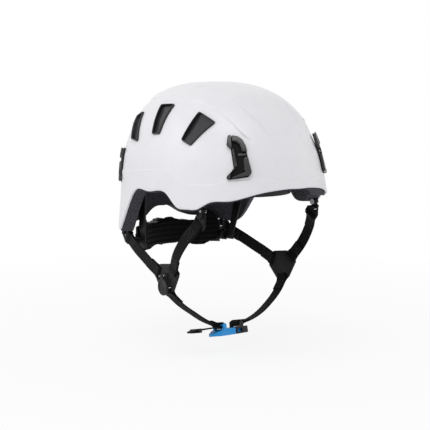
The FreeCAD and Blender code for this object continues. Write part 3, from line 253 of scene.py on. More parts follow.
@dataclass(frozen=True)
class MouldedPlastic(Finish):
    """Injection-moulded plastic: the tool's fine grain, with gloss that drifts a little."""

    grain_mm: float = 0.8
    grain_depth: float = 0.02
    drift: float = 0.06
    shade: str = "#101012"
    shade_amount: float = 0.25
    # Colour and amount of the painted highlight on sharp edges.
    worn: str = "#55555a"
    wear: float = 0.35

    def detail(self, tree: bpy.types.NodeTree, shader: bpy.types.Node) -> None:
        """Grain in the bump, broad drift in gloss and colour, and painted highlights on the edges."""
        where = add_node(tree, "ShaderNodeTexCoord").outputs["Object"]
        grain = add_node(tree, "ShaderNodeTexNoise", inputs={
            "Vector": where, "Scale": 1 / (self.grain_mm * MM), "Detail": 2.0})
        broad = add_node(tree, "ShaderNodeTexNoise", inputs={"Vector": where, "Scale": 45.0, "Detail": 3.0})
        gloss = add_node(tree, "ShaderNodeMapRange", inputs={
            "Value": broad.outputs[0], "From Min": 0.3, "From Max": 0.7,
            "To Min": self.roughness - self.drift, "To Max": self.roughness + self.drift})
        tree.links.new(gloss.outputs[0], shader.inputs["Roughness"])
        cloud = add_node(tree, "ShaderNodeMapRange", inputs={
            "Value": broad.outputs[0], "From Min": 0.45, "From Max": 0.75, "To Max": self.shade_amount})
        self.tint(tree, shader, cloud.outputs[0], self.shade)
        # Painted highlight along sharp edges.
        self.worn_edges(tree, shader, self.worn, self.wear)
        self.raise_grain(tree, shader, grain.outputs[0], self.grain_depth)


@dataclass(frozen=True)
class BeadFoam(Finish):
    """Expanded bead foam: flat-topped beads pressed together, with dark joints between them."""

    bead_mm: float = 3.2
    joint: str = "#1c1c20"

    def detail(self, tree: bpy.types.NodeTree, shader: bpy.types.Node) -> None:
        """Beads in the bump and the colour."""
        where = add_node(tree, "ShaderNodeTexCoord").outputs["Object"]
        beads = add_node(tree, "ShaderNodeTexVoronoi", {"feature": "DISTANCE_TO_EDGE"},
                         {"Vector": where, "Scale": 1 / (self.bead_mm * MM)})
        joint = add_node(tree, "ShaderNodeMapRange", inputs={
            "Value": beads.outputs[0], "From Min": 0.0, "From Max": 0.14, "To Min": 0.7, "To Max": 0.0})
        self.tint(tree, shader, joint.outputs[0], self.joint)
        top = add_node(tree, "ShaderNodeMapRange", inputs={
            "Value": beads.outputs[0], "From Min": 0.0, "From Max": 0.25})
        self.raise_grain(tree, shader, top.outputs[0], 0.25, 0.7)


@dataclass(frozen=True)
class Webbing(Finish):
    """Narrow woven webbing, seen along its own length and width."""

    yarn_mm: float = 1.5
    pick_mm: float = 1.25
    # Darker colour of the painted shade in the weave's dips.
    gap: str = "#050506"

    def detail(self, tree: bpy.types.NodeTree, shader: bpy.types.Node) -> None:
        """Warp yarns side by side, each dipping under the picks of the weft in turn, with painted shade in
        the dips.
        """
        where = add_node(tree, "ShaderNodeUVMap", {"uv_map": "length"})
        parts = add_node(tree, "ShaderNodeSeparateXYZ", inputs={0: where.outputs[0]})
        along = self.wave(tree, parts.outputs[0], self.pick_mm)
        across = self.wave(tree, parts.outputs[1], self.yarn_mm)
        weave = add_node(tree, "ShaderNodeMath", {"operation": "MULTIPLY"},
                         {0: along.outputs[0], 1: across.outputs[0]})
        height = add_node(tree, "ShaderNodeMapRange", inputs={
            "Value": weave.outputs[0], "From Min": -1.0, "From Max": 1.0})
        # Painted shade: the weave's low dips are darkened towards the gap colour.
        low = add_node(tree, "ShaderNodeMapRange", inputs={
            "Value": height.outputs[0], "From Min": 0.0, "From Max": 0.5, "To Min": 0.8, "To Max": 0.0})
        self.tint(tree, shader, low.outputs[0], self.gap)
        self.raise_grain(tree, shader, height.outputs[0], 0.22, 0.9)

    def wave(self, tree: bpy.types.NodeTree, value: bpy.types.NodeSocket,
             pitch_mm: float) -> bpy.types.Node:
        """Sine of a distance in metres.

        Args:
            tree: the node tree.
            value: socket with the distance.
            pitch_mm: real pitch of one yarn, half a wave.

        Returns:
            The node that gives the sine.
        """
        turn = add_node(tree, "ShaderNodeMath", {"operation": "MULTIPLY"},
                        {0: value, 1: math.pi / (pitch_mm * MM)})
        return add_node(tree, "ShaderNodeMath", {"operation": "SINE"}, {0: turn.outputs[0]})


@dataclass(frozen=True)
class KnitCloth(Finish):
    """Spacer knit over foam: small round loops in rows."""

    loop_mm: float = 1.5
    # Darker colour of the painted shade in the holes between loops.
    gap: str = "#070708"

    def detail(self, tree: bpy.types.NodeTree, shader: bpy.types.Node) -> None:
        """Loops in the bump, with painted shade in the holes between them and a little lint."""
        where = add_node(tree, "ShaderNodeTexCoord").outputs["Object"]
        loops = add_node(tree, "ShaderNodeTexVoronoi", {"feature": "F1"}, {
            "Vector": where, "Scale": 1 / (self.loop_mm * MM), "Randomness": 0.35})
        # Painted shade: the holes between loops are darkened.
        hole_shade = add_node(tree, "ShaderNodeMapRange", inputs={
            "Value": loops.outputs["Distance"], "From Min": 0.35, "From Max": 0.75, "To Max": 0.8})
        self.tint(tree, shader, hole_shade.outputs[0], self.gap)
        lint = add_node(tree, "ShaderNodeTexNoise", inputs={"Vector": where, "Scale": 260.0, "Detail": 4.0})
        fluff = add_node(tree, "ShaderNodeMapRange", inputs={
            "Value": lint.outputs[0], "From Min": 0.58, "From Max": 0.8, "To Max": 0.35})
        self.tint(tree, shader, fluff.outputs[0], "#1e1e22")
        crown = add_node(tree, "ShaderNodeMapRange", inputs={
            "Value": loops.outputs["Distance"], "From Min": 0.0, "From Max": 0.8,
            "To Min": 1.0, "To Max": 0.0})
        self.raise_grain(tree, shader, crown.outputs[0], 0.3, 0.8)


@dataclass(frozen=True)
class BrushedSteel(Finish):
    """Bright drawn steel with fine lines round each head and shank."""

    line_mm: float = 0.15

    def detail(self, tree: bpy.types.NodeTree, shader: bpy.types.Node) -> None:
        """Stretched noise in the gloss and the bump."""
        where = add_node(tree, "ShaderNodeTexCoord").outputs["Object"]
        drawn = add_node(tree, "ShaderNodeMapping", inputs={"Vector": where, "Scale": (1.0, 0.1, 1.0)})
        lines = add_node(tree, "ShaderNodeTexNoise", inputs={
            "Vector": drawn.outputs[0], "Scale": 1 / (self.line_mm * MM), "Detail": 3.0})
        gloss = add_node(tree, "ShaderNodeMapRange", inputs={
            "Value": lines.outputs[0], "To Min": self.roughness - 0.1, "To Max": self.roughness + 0.15})
        tree.links.new(gloss.outputs[0], shader.inputs["Roughness"])
        self.raise_grain(tree, shader, lines.outputs[0], 0.01)


@dataclass(frozen=True)
class FinishRack:
    """All the finishes of the helmet, built once."""

    made: dict[str, bpy.types.Material] = field(default_factory=dict)
    kinds: dict[str, Finish] = field(default_factory=dict)

    def add(self, kinds: Iterable[Finish]) -> None:
        """Build each finish under its name."""
        for kind in kinds:
            self.kinds[kind.name] = kind
            self.made[kind.name] = kind.build()


# Pigmented ABS, tool-polished: nearly white with a soft gloss and only a trace of grain, and a whiter
# painted highlight along its edges.
SHELL_ABS = MouldedPlastic("polished_white_abs", "#efeef2", 0.36, "shell", edge_round=0.7, grain_mm=1.6,
                           grain_depth=0.006, drift=0.05, shade="#e6e5ea", shade_amount=0.3,
                           worn="#f6f6f8", wear=0.3)
# Charcoal expanded polypropylene: matt, with beads that show at arm's length.
LINER_FOAM = BeadFoam("charcoal_bead_foam", "#45454c", 0.82, "liner", shine=0.25)
# Black nylon inserts straight from a spark-eroded tool, with a grey painted highlight along their edges.
TRIM_NYLON = MouldedPlastic("spark_grained_nylon", "#0e0e11", 0.42, "trim", grain_mm=0.7,
                            grain_depth=0.03, worn="#6a6a70", wear=0.45, shine=0.3)
# Black polypropylene of the headband and cradle: satin, a little waxy, with a grey painted highlight along
# its edges.
BAND_POLYPROPYLENE = MouldedPlastic("satin_polypropylene", "#0c0c0e", 0.48, "band", grain_depth=0.02,
                                    shine=0.3)
# Acetal racks and pinion: smooth and slightly shiny, with a grey painted highlight along their edges.
RACK_ACETAL = MouldedPlastic("smooth_acetal", "#18181b", 0.3, "rack", grain_depth=0.008)
# Charcoal acetal of the adjusters, brackets and links, with a faint painted highlight along their edges.
ADJUSTER_ACETAL = MouldedPlastic("charcoal_acetal", "#070708", 0.46, "adjuster", grain_mm=0.6,
                                 grain_depth=0.02, shade="#0b0b0c", worn="#77777d", wear=0.06, shine=0.16)
# Bright blue acetal of the buckle, coloured through, with a lighter blue painted highlight along its edges.
BUCKLE_ACETAL = MouldedPlastic("bright_blue_acetal", "#0594e6", 0.42, "blue", grain_mm=0.9,
                               grain_depth=0.012, shade="#0488da", worn="#2fa6ea", wear=0.3)
# Polyester webbing, solution-dyed black: matt with a faint sheen across the yarns.
STRAP_WEBBING = Webbing("black_polyester_webbing", "#0d0d0f", 0.8, "webbing", sheen=0.03, shine=0.12)
# Bonded thread of the strap seams, with a grey painted highlight on its edges.
SEAM_THREAD = MouldedPlastic("bonded_thread", "#18181b", 0.6, "webbing", grain_mm=0.4, grain_depth=0.03)
# Black spacer knit laminated to foam.
PAD_KNIT = KnitCloth("black_spacer_knit", "#0f0f12", 0.9, "pad", sheen=0.04, shine=0.12)
# Plated steel of rivets, screws and pins.
FASTENER_STEEL = BrushedSteel("plated_steel", "#b9bbc0", 0.32, "metal", metallic=1.0)

RACK = FinishRack()


# ---------------------------------------------------------------- making pieces

def sheet_mesh(columns: int, rows: int, place: Callable[[float, float], Vector],
               measure: Callable[[float, float], tuple[float, float]] | None = None) -> bmesh.types.BMesh:
    """Shape a fine grid into a curved sheet.

    Args:
        columns: cells along the first direction.
        rows: cells along the second direction.
        place: gives the point, in millimetres, of two shares from 0 to 1.
        measure: gives the real length and width, in metres, that the UV map holds.

    Returns:
        The sheet, open at its edges.
    """
    mesh = bmesh.new()
    layer = mesh.loops.layers.uv.new("length") if measure else None
    bmesh.ops.create_grid(mesh, x_segments=columns, y_segments=rows, size=0.5)
    if layer and measure:
        for face in mesh.faces:
            for loop in face.loops:
                loop[layer].uv = measure(loop.vert.co.x + 0.5, loop.vert.co.y + 0.5)
    for vert in mesh.verts:
        vert.co = place(vert.co.x + 0.5, vert.co.y + 0.5)
    return mesh


def join_in(whole: bmesh.types.BMesh, part: bmesh.types.BMesh) -> None:
    """Add one mesh to another and free it.

    Args:
        whole: gets the faces.
        part: gives its faces and is freed.
    """
    data = bpy.data.meshes.new("part")
    part.to_mesh(data)
    part.free()
    whole.from_mesh(data)
    bpy.data.meshes.remove(data)


def close_up(mesh: bmesh.types.BMesh, distance: float = 0.01) -> None:
    """Weld a mesh's doubles, fill its open ends and face it outwards.

    Args:
        mesh: the mesh.
        distance: how close two points are that become one.
    """
    bmesh.ops.remove_doubles(mesh, verts=mesh.verts, dist=distance)
    edges = [edge for edge in mesh.edges if len(edge.link_faces) == 1]
    if edges:
        bmesh.ops.holes_fill(mesh, edges=edges, sides=0)
    bmesh.ops.recalc_face_normals(mesh, faces=mesh.faces)


def mark_edges(mesh: bmesh.types.BMesh, degrees: float) -> None:
    """Shade a mesh smoothly except over edges sharper than an angle.

    Args:
        mesh: the mesh.
        degrees: the angle.
    """
    limit = math.radians(degrees)
    for face in mesh.faces:
        face.smooth = True
    for edge in mesh.edges:
        edge.smooth = len(edge.link_faces) == 2 and edge.calc_face_angle(0.0) < limit


def dress(mesh: bmesh.types.BMesh, name: str, body: str, finish: Finish, stands_for: Sequence[str] = (),
          sharp: float = 38.0, scale: float = MM) -> bpy.types.Object:
    """Finish a piece: its object at the origin, its material and the body it rides on.

    Args:
        mesh: the shape, freed here.
        name: the piece's name.
        body: body of the frame that carries it.
        finish: its finish.
        stands_for: nodes of the frame that it replaces.
        sharp: angle, in degrees, above which an edge stays crisp.
        scale: metres in one unit of the shape.

    Returns:
        The finished object.
    """
    bmesh.ops.scale(mesh, vec=(scale, scale, scale), verts=mesh.verts)
    mark_edges(mesh, sharp)
    data = bpy.data.meshes.new(name)
    mesh.to_mesh(data)
    mesh.free()
    piece = bpy.data.objects.new(name, data)
    bpy.context.scene.collection.objects.link(piece)
    data.materials.append(RACK.made[finish.name])
    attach(piece, body)
    if stands_for:
        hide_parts(*stands_for)
    log.info("%s: %d faces on %s", name, len(data.polygons), body)
    return piece


def node_copy(frame: dict, node: str) -> bmesh.types.BMesh:
    """Welded copy of a node's mesh, in millimetres.

    Args:
        frame: the loaded frame.
        node: the node's name.

    Returns:
        The copy.
    """
    mesh = bmesh.new()
    mesh.from_mesh(frame["nodes"][node].data)
    bmesh.ops.scale(mesh, vec=(1 / MM, 1 / MM, 1 / MM), verts=mesh.verts)
    bmesh.ops.remove_doubles(mesh, verts=mesh.verts, dist=0.002)
    return mesh


def eased_copy(frame: dict, node: str, finish: Finish, ease_mm: float, segments: int = 2,
               shape: Callable[[Vector], Vector] | None = None) -> bpy.types.Object:
    """Stand-in for a node with its corners eased as the moulding tool leaves them.

    Args:
        frame: the loaded frame.
        node: node that the piece replaces.
        finish: its finish.
        ease_mm: width of the easing.
        segments: steps across the easing.
        shape: moves each point once the corners are eased.

    Returns:
        The finished object.
    """
    mesh = node_copy(frame, node)
    bmesh.ops.dissolve_limit(mesh, angle_limit=math.radians(1.0), verts=mesh.verts, edges=mesh.edges)
    edges = [edge for edge in mesh.edges
             if len(edge.link_faces) == 2 and edge.calc_face_angle(0.0) > math.radians(32)]
    bmesh.ops.bevel(mesh, geom=edges, offset=ease_mm, offset_type="OFFSET", segments=segments, profile=0.5,
                    affect="EDGES", clamp_overlap=True, material=-1)
    bmesh.ops.triangulate(mesh, faces=[face for face in mesh.faces if len(face.verts) > 4])
    if shape:
        for vert in mesh.verts:
            vert.co = shape(vert.co)
    body = body_of(frame["nodes"][node])[0]
    return dress(mesh, f"{node}_piece", body, finish, [node], sharp=50.0)


# ---------------------------------------------------------------- the dome

@dataclass(frozen=True)
class Dome:
    """Faces of the shell: superellipses in plan and in elevation, flared at the rim."""

    front: float = 142.0
    back: float = 133.0
    side: float = 104.0
    crown: float = 130.0
    flare: tuple[float, float, float] = (7.0, 1.0, 2.0)
    flare_height: float = 60.0
    rim: tuple[tuple[float, float], ...] = (
        (-8, 8.5), (0, 8.5), (8, 8.5), (19, 5.0), (33, -4.0), (43, -6.0), (51, -15.0), (57, -15.7),
        (64, -14.5), (75, 2.0), (90, 1.0), (108, -1.5), (127, -50.0), (133, -51.0), (150, -45.0),
        (163, -42.5), (173, -30.5), (180, -29.5), (187, -30.5))
    belt: tuple[tuple[float, float], ...] = (
        (0, 14.0), (5.4, 15.6), (21, 19.9), (34.9, 17.5), (45, 12.4), (56.8, 12.4), (69.3, 23.7),
        (74.7, 27.7), (94, 25.8), (118.5, 20.5), (150, 20.0), (180, 20.0))

    @staticmethod
    def along(stops: Sequence[tuple[float, float]], turn: float) -> float:
        """Smooth line through stops, by degrees round from the front on either side.

        Args:
            stops: degrees and values in order, one stop past each end.
            turn: degrees round from the front.

        Returns:
            The value there.
        """
        turn = abs(turn) if abs(turn) <= 180 else 360 - abs(turn)
        index = max(i for i in range(1, len(stops) - 2) if stops[i][0] <= turn or i == 1)
        before, start, end, after = stops[index - 1:index + 3]
        span = end[0] - start[0]
        share = (turn - start[0]) / span
        slope_in = (end[1] - before[1]) / (end[0] - before[0]) * span
        slope_out = (after[1] - start[1]) / (after[0] - start[0]) * span
        rise = end[1] - start[1]
        return (start[1] + slope_in * share + (3 * rise - 2 * slope_in - slope_out) * share ** 2
                + (slope_in + slope_out - 2 * rise) * share ** 3)

    @staticmethod
    def runs(stops: Sequence[tuple[float, float]], turn: float, bend: float = 0.9) -> float:
        """Line of straight runs through stops, eased over a short bend at each.

        Args:
            stops: degrees and values in order.
            turn: degrees round from the front.
            bend: degrees over which a corner is eased.

        Returns:
            The value there.
        """
        total = 0.0
        for shift in (-bend, -bend / 2, 0.0, bend / 2, bend):
            spot = abs(turn + shift)
            spot = spot if spot <= 180 else 360 - spot
            for start, end in zip(stops, stops[1:]):
                if spot <= end[0]:
                    break
            total += start[1] + (end[1] - start[1]) * (spot - start[0]) / (end[0] - start[0])
        return total / 5

    def meet(self, spot: Vector, way: Vector) -> Vector:
        """Where a line through a spot, square to the dome nearby, meets the outer face.

        Args:
            spot: point that the line goes through.
            way: its outward direction.

        Returns:
            The point on the face.
        """
        low, high = -30.0, 30.0
        for _ in range(24):
            middle = (low + high) / 2
            place = spot + way * middle
            turn = math.degrees(math.atan2(-place.x, -place.y))
            outside = place.z >= self.crown or place.xy.length > self.point(turn, place.z).xy.length
            low, high = (low, middle) if outside else (middle, high)
        return spot + way * low

    def point(self, turn: float, height: float, depth: float = 0.0) -> Vector:
        """Point under the shell's outer face.

        Args:
            turn: degrees round from the front towards the wearer's right.
            height: height on the outer face.
            depth: how far under the face; negative stands proud of it.

        Returns:
            The point in millimetres.
        """
        up = min(max(height / self.crown, 0.0), 1.0)
        flare = max(1.0 - height / self.flare_height, 0.0) ** 2
        ahead, aside = math.cos(math.radians(turn)), math.sin(math.radians(turn))
        if ahead > 0:
            long = (self.front - depth) * (1 - up ** 2.2) ** (1 / 2.2) + self.flare[0] * flare
        else:
            long = (self.back - depth) * (1 - up ** 2.85) ** (1 / 2.85) + self.flare[1] * flare
        broad = (self.side - depth) * (1 - up ** 2.6) ** (1 / 2.6) + self.flare[2] * flare
        if long < 0.01 or broad < 0.01:
            return Vector((0, 0, self.crown - depth))
        reach = ((abs(ahead) / long) ** 2.2 + (abs(aside) / broad) ** 2.2) ** (-1 / 2.2)
        level = height * (self.crown - depth) / self.crown if height > 0 else height
        return Vector((-reach * aside, -reach * ahead, level))

    def wrap(self, mesh: bmesh.types.BMesh, pace: float) -> None:
        """Bend a flat mesh onto the dome: X is degrees times pace, Y is height, Z stands proud.

        Args:
            mesh: the flat mesh.
            pace: millimetres that stand for a degree.
        """
        for vert in mesh.verts:
            vert.co = self.point(vert.co.x / pace, vert.co.y, -vert.co.z)


DOME = Dome()


@dataclass(frozen=True)
class Relief:
    """Raised and sunk fields of the shell's outer face, in millimetres under the belt's face."""

    above_belt: float = 0.6
    crown_drop: float = 1.6
    panel_drop: float = 1.8
    step: float = 2.6
    ridge: tuple[tuple[float, float], ...] = (
        (0, 65.5), (14, 65.5), (22, 64), (26.4, 72), (30.5, 83), (37, 94), (47, 103), (60, 109),
        (75, 113), (90, 115), (105, 115), (130, 110), (160, 108), (180, 108))
    panel: tuple[tuple[float, float], ...] = (
        (0, 11.0), (66, 11.0), (84, 15.0), (104, 24.0), (112, 30), (140, 40))

    def depth(self, turn: float, height: float) -> float:
        """Depth of the face at a place above the belt.

        Args:
            turn: degrees round from the front.
            height: height on the outer face.

        Returns:
            Millimetres under the belt's face.
        """
        turn = abs(turn)
        depth = self.above_belt
        if turn > 18:
            low = Dome.runs(self.ridge, turn, 2.0)
            inside = smooth_step(low - height, self.step) * smooth_step(turn - 23, 6)
            start = smooth_step(height - 52, 28)
            depth += self.crown_drop * inside * start
        half = self.panel[-1][1]
        for (low, near), (high, far) in zip(self.panel, self.panel[1:]):
            if low <= height <= high:
                half = near + (far - near) * (height - low) / (high - low)
        ends = smooth_step(height - 65.5, 2.0) * (1 - smooth_step(height - 106, 14))
        panel = smooth_step(half - turn, 1.1) * ends
        return depth + self.panel_drop * panel


@dataclass(frozen=True)
class Vent:
    """An opening in the shell with the black tray that lines it."""

    name: str
    corners: tuple[tuple[float, float], ...]
    corner_round: float = 3.0
    profile: tuple[tuple[float, float], ...] = (
        (0.12, 3.4), (0.12, 0.4), (0.3, -0.05), (0.7, -0.22), (1.1, -0.05), (1.35, 0.5), (1.75, 5.6),
        (2.1, 6.4), (2.9, 6.7), (5.2, 6.75), (8.0, 6.8))

    def outline(self) -> tuple[list[Vector], Vector]:
        """Flat outline of the opening and its outward direction.

        Returns:
            The outline and the direction.
        """
        spots = [DOME.point(turn, height) for turn, height in self.corners]
        centre = sum(spots, Vector()) / len(spots)
        normal = (spots[len(spots) // 2] - spots[0]).cross(spots[-1] - spots[1]).normalized()
        if normal.dot(centre) < 0:
            normal.negate()
        flat = [spot - normal * normal.dot(spot - centre) for spot in spots]
        return rounded(flat, self.corner_round, 6), normal

    def build(self) -> None:
        """Make the tray on both sides: a rolled lip, drafted walls and a floor that follows the dome."""
        ring, normal = self.outline()
        fine = [start.lerp(end, step / cuts) for start, end in zip(ring, ring[1:] + ring[:1])
                for cuts in [max(1, round((end - start).length / 2.0))] for step in range(cuts)]
        centre = sum(fine, Vector()) / len(fine)
        ways = []
        for index, spot in enumerate(fine):
            run = fine[(index + 1) % len(fine)] - fine[index - 1]
            way = normal.cross(run).normalized()
            ways.append(way if way.dot(centre - spot) > 0 else -way)
        count, last = len(fine), len(self.profile) - 1
        sheet: list[list[Vector]] = []
        for inset, deep in self.profile:
            row = [DOME.meet(spot + way * inset if inset < 3 else spot.lerp(centre, inset / 12), normal)
                   - normal * deep for spot, way in zip(fine, ways)]
            sheet.append(row)

        for side in Side:
            def place(across: float, down: float) -> Vector:
                spot = sheet[round(down * last)][round(across * count) % count].copy()
                spot.x *= -side.value
                return spot

            mesh = sheet_mesh(count, last, place)
            close_up(mesh, 0.01)
            dress(mesh, f"vent_tray_{self.name}_{side.word}_piece", "helmet", TRAY_NYLON,
                  [f"vent_tray_{self.name}_{side.word}"], sharp=50.0)


VENTS = (
    Vent("front", ((53.5, 96.0), (41.0, 84.0), (56.5, 57.0), (64.0, 63.0))),
    Vent("middle", ((101.0, 103.0), (82.0, 104.0), (86.0, 69.0), (94.5, 68.0))),
    Vent("rear", ((124.0, 94.0), (133.5, 88.0), (131.0, 79.0), (123.0, 60.0), (111.0, 58.0))),
)


@dataclass
class ShellSkin:
    """The white outer shell: a wall with a rolled rim, a proud belt, a crown ridge and six openings."""

    columns: int = 480
    low_rows: int = 20
    high_rows: int = 42
    crown_rows: int = 40
    inner_rows: int = 24
    wall: float = 3.0
    relief: Relief = Relief()

    def rows(self, turn: float) -> list[Vector]:
        """Points of one upright section, from the crown over the rim to the crown's inner face.

        Args:
            turn: degrees round from the front.

        Returns:
            The points in order.
        """
        rim, belt = DOME.along(DOME.rim, turn), DOME.runs(DOME.belt, turn)
        ridge = DOME.runs(self.relief.ridge, turn, 2.0)
        lift, half = 1.1, self.relief.step / 2

        def angle_of(height: float) -> float:
            return math.asin((height / DOME.crown) ** 1.2)

        stops = [math.pi / 2, angle_of(ridge + half), angle_of(ridge - half), angle_of(belt + lift)]
        line: list[Vector] = []
        for start, end, count in zip(stops, stops[1:], (self.crown_rows, 4, self.high_rows)):
            for step in range(count):
                height = DOME.crown * math.sin(start + (end - start) * step / count) ** (1 / 1.2)
                line.append(DOME.point(turn, height, self.relief.depth(turn, height)))
        drop = self.relief.above_belt
        line.append(DOME.point(turn, belt + lift, self.relief.depth(turn, belt + lift)))
        for share in (0.25, 0.5, 0.75):
            line.append(DOME.point(turn, belt + lift * (1 - share), drop * (1 - share) - 0.15 * share))
        for step in range(self.low_rows):
            share = step / (self.low_rows - 1)
            line.append(DOME.point(turn, belt - 0.6 + (rim + 1.5 - belt + 0.6) * share))
        for angle in (30, 60, 90, 120, 150, 180):
            round_in = self.wall / 2 * (1 - math.cos(math.radians(angle)))
            line.append(DOME.point(turn, rim + 1.5 - 1.5 * math.sin(math.radians(angle)), round_in))
        for step in range(1, self.inner_rows + 1):
            angle = math.pi / 2 * step / self.inner_rows
            low = rim + 1.5
            height = low + (DOME.crown - low) * math.sin(angle)
            line.append(DOME.point(turn, min(height, DOME.crown), self.wall))
        return line

    def skin(self) -> bmesh.types.BMesh:
        """The whole wall before its openings are cut."""
        shares = [2.0 * column / self.columns - 1.0 for column in range(self.columns)]
        sections = [self.rows(180.0 * (0.65 * share + 0.35 * share ** 3)) for share in shares]
        last = len(sections[0]) - 1

        def place(across: float, down: float) -> Vector:
            return sections[round(across * self.columns) % self.columns][round(down * last)]

        mesh = sheet_mesh(self.columns, last, place)
        close_up(mesh, 0.02)
        return mesh

    def cutter(self, vent: Vent, side: Side) -> bmesh.types.BMesh:
        """Rounded prism through the wall, square to it at the middle of the opening.

        Args:
            vent: the opening.
            side: the side of the helmet.

        Returns:
            The prism.
        """
        ring, normal = vent.outline()
        for spot in (*ring, normal):
            spot.x *= -side.value
        mesh = bmesh.new()
        face = mesh.faces.new([mesh.verts.new(spot + normal * 22) for spot in ring])
        made = bmesh.ops.extrude_face_region(mesh, geom=[face])
        moved = [item for item in made["geom"] if isinstance(item, bmesh.types.BMVert)]
        bmesh.ops.translate(mesh, vec=normal * -44, verts=moved)
        bmesh.ops.recalc_face_normals(mesh, faces=mesh.faces)
        return mesh

    def build(self) -> bpy.types.Object:
        """Cut the openings and finish the shell.

        Returns:
            The shell.
        """
        tools = bmesh.new()
        for vent in VENTS:
            for side in Side:
                join_in(tools, self.cutter(vent, side))
        blank = scratch(self.skin(), "shell_blank")
        knife = scratch(tools, "shell_knife")
        cut = blank.modifiers.new("openings", "BOOLEAN")
        cut.operation, cut.solver, cut.object = "DIFFERENCE", "EXACT", knife
        mesh = bmesh.new()
        mesh.from_object(blank, bpy.context.evaluated_depsgraph_get())
        for item in (blank, knife):
            bpy.data.objects.remove(item)
        return dress(mesh, "outer_shell_skin", "helmet", SHELL_ABS, ["outer_shell"], sharp=28.0)


def scratch(mesh: bmesh.types.BMesh, name: str) -> bpy.types.Object:
    """Throw-away object for a mesh, which is freed.

    Args:
        mesh: its shape.
        name: its name.

    Returns:
        The object.
    """
    data = bpy.data.meshes.new(name)
    mesh.to_mesh(data)
    mesh.free()
    item = bpy.data.objects.new(name, data)
    bpy.context.scene.collection.objects.link(item)
    return item


def rounded(ring: Sequence[Vector], radius: float, steps: int) -> list[Vector]:
    """Closed outline with each corner rounded by an arc.

    Args:
        ring: corners in order.
        radius: corner radius, less where an edge is too short.
        steps: points in each arc.

    Returns:
        The points of the rounded outline.
    """
    line: list[Vector] = []
    for index, corner in enumerate(ring):
        back, on = ring[index - 1] - corner, ring[(index + 1) % len(ring)] - corner
        half = back.angle(on) / 2
        reach = min(radius / math.tan(half), back.length * 0.45, on.length * 0.45)
        start, end = corner + back.normalized() * reach, corner + on.normalized() * reach
        for step in range(steps + 1):
            share = step / steps
            line.append(start * (1 - share) ** 2 + corner * 2 * share * (1 - share) + end * share ** 2)
    return line


# ---------------------------------------------------------------- lamp clips

@dataclass(frozen=True)
class Block:
    """One raised field of a clip, by its corners in degrees and heights."""

    corners: tuple[tuple[float, float], ...]
    low: float
    high: float
    round_mm: float = 1.2
    ease: float = 0.5


@dataclass
class LampClip:
    """Black clip that holds a head-lamp's band: a base plate with rails, a hook and a tongue."""

    name: str
    blocks: tuple[Block, ...]
    pace: float = 2.0

    def field_mesh(self, block: Block) -> bmesh.types.BMesh:
        """One block, eased along its top edges and cut fine enough to bend.

        Args:
            block: its corners and heights.

        Returns:
            The block, still flat.
        """
        mesh = bmesh.new()
        flat = [Vector((turn * self.pace, height, block.low)) for turn, height in block.corners]
        face = mesh.faces.new([mesh.verts.new(spot) for spot in rounded(flat, block.round_mm, 3)])
        made = bmesh.ops.extrude_face_region(mesh, geom=[face])
        moved = [item for item in made["geom"] if isinstance(item, bmesh.types.BMVert)]
        bmesh.ops.translate(mesh, vec=(0, 0, block.high - block.low), verts=moved)
        bmesh.ops.recalc_face_normals(mesh, faces=mesh.faces)
        top = [edge for edge in mesh.edges if all(vert.co.z > block.high - 0.01 for vert in edge.verts)]
        bmesh.ops.bevel(mesh, geom=top, offset=block.ease, offset_type="OFFSET", segments=3, profile=0.5,
                        affect="EDGES", clamp_overlap=True, material=-1)
        xs, ys = [vert.co.x for vert in mesh.verts], [vert.co.y for vert in mesh.verts]
        for low, high, normal in ((min(xs), max(xs), (1, 0, 0)), (min(ys), max(ys), (0, 1, 0))):
            for step in range(1, int((high - low) / 2.5) + 1):
                spot = Vector(normal) * (low + 2.5 * step)
                bmesh.ops.bisect_plane(mesh, geom=mesh.verts[:] + mesh.edges[:] + mesh.faces[:], dist=0.001,
                                       plane_co=spot, plane_no=normal)
        bmesh.ops.triangulate(mesh, faces=[face for face in mesh.faces if len(face.verts) > 4])
        return mesh

    def build(self) -> None:
        """Make the clip on both sides of the helmet."""
        for side in Side:
            node = f"lamp_clip_{self.name}_{side.word}"
            # The base plate takes a darker copy of the nylon: painted shade in the recess under the rails.
            for blocks, word, finish in ((self.blocks[:1], "plate", SHADED_PLATE_NYLON),
                                         (self.blocks[1:], "rails", CLIP_NYLON)):
                whole = bmesh.new()
                for block in blocks:
                    part = self.field_mesh(block)
                    DOME.wrap(part, self.pace)
                    if side is Side.LEFT:
                        bmesh.ops.scale(part, vec=(-1, 1, 1), verts=part.verts)
                        bmesh.ops.reverse_faces(part, faces=part.faces)
                    join_in(whole, part)
                dress(whole, f"{node}_{word}", "helmet", finish, [node], sharp=40.0)


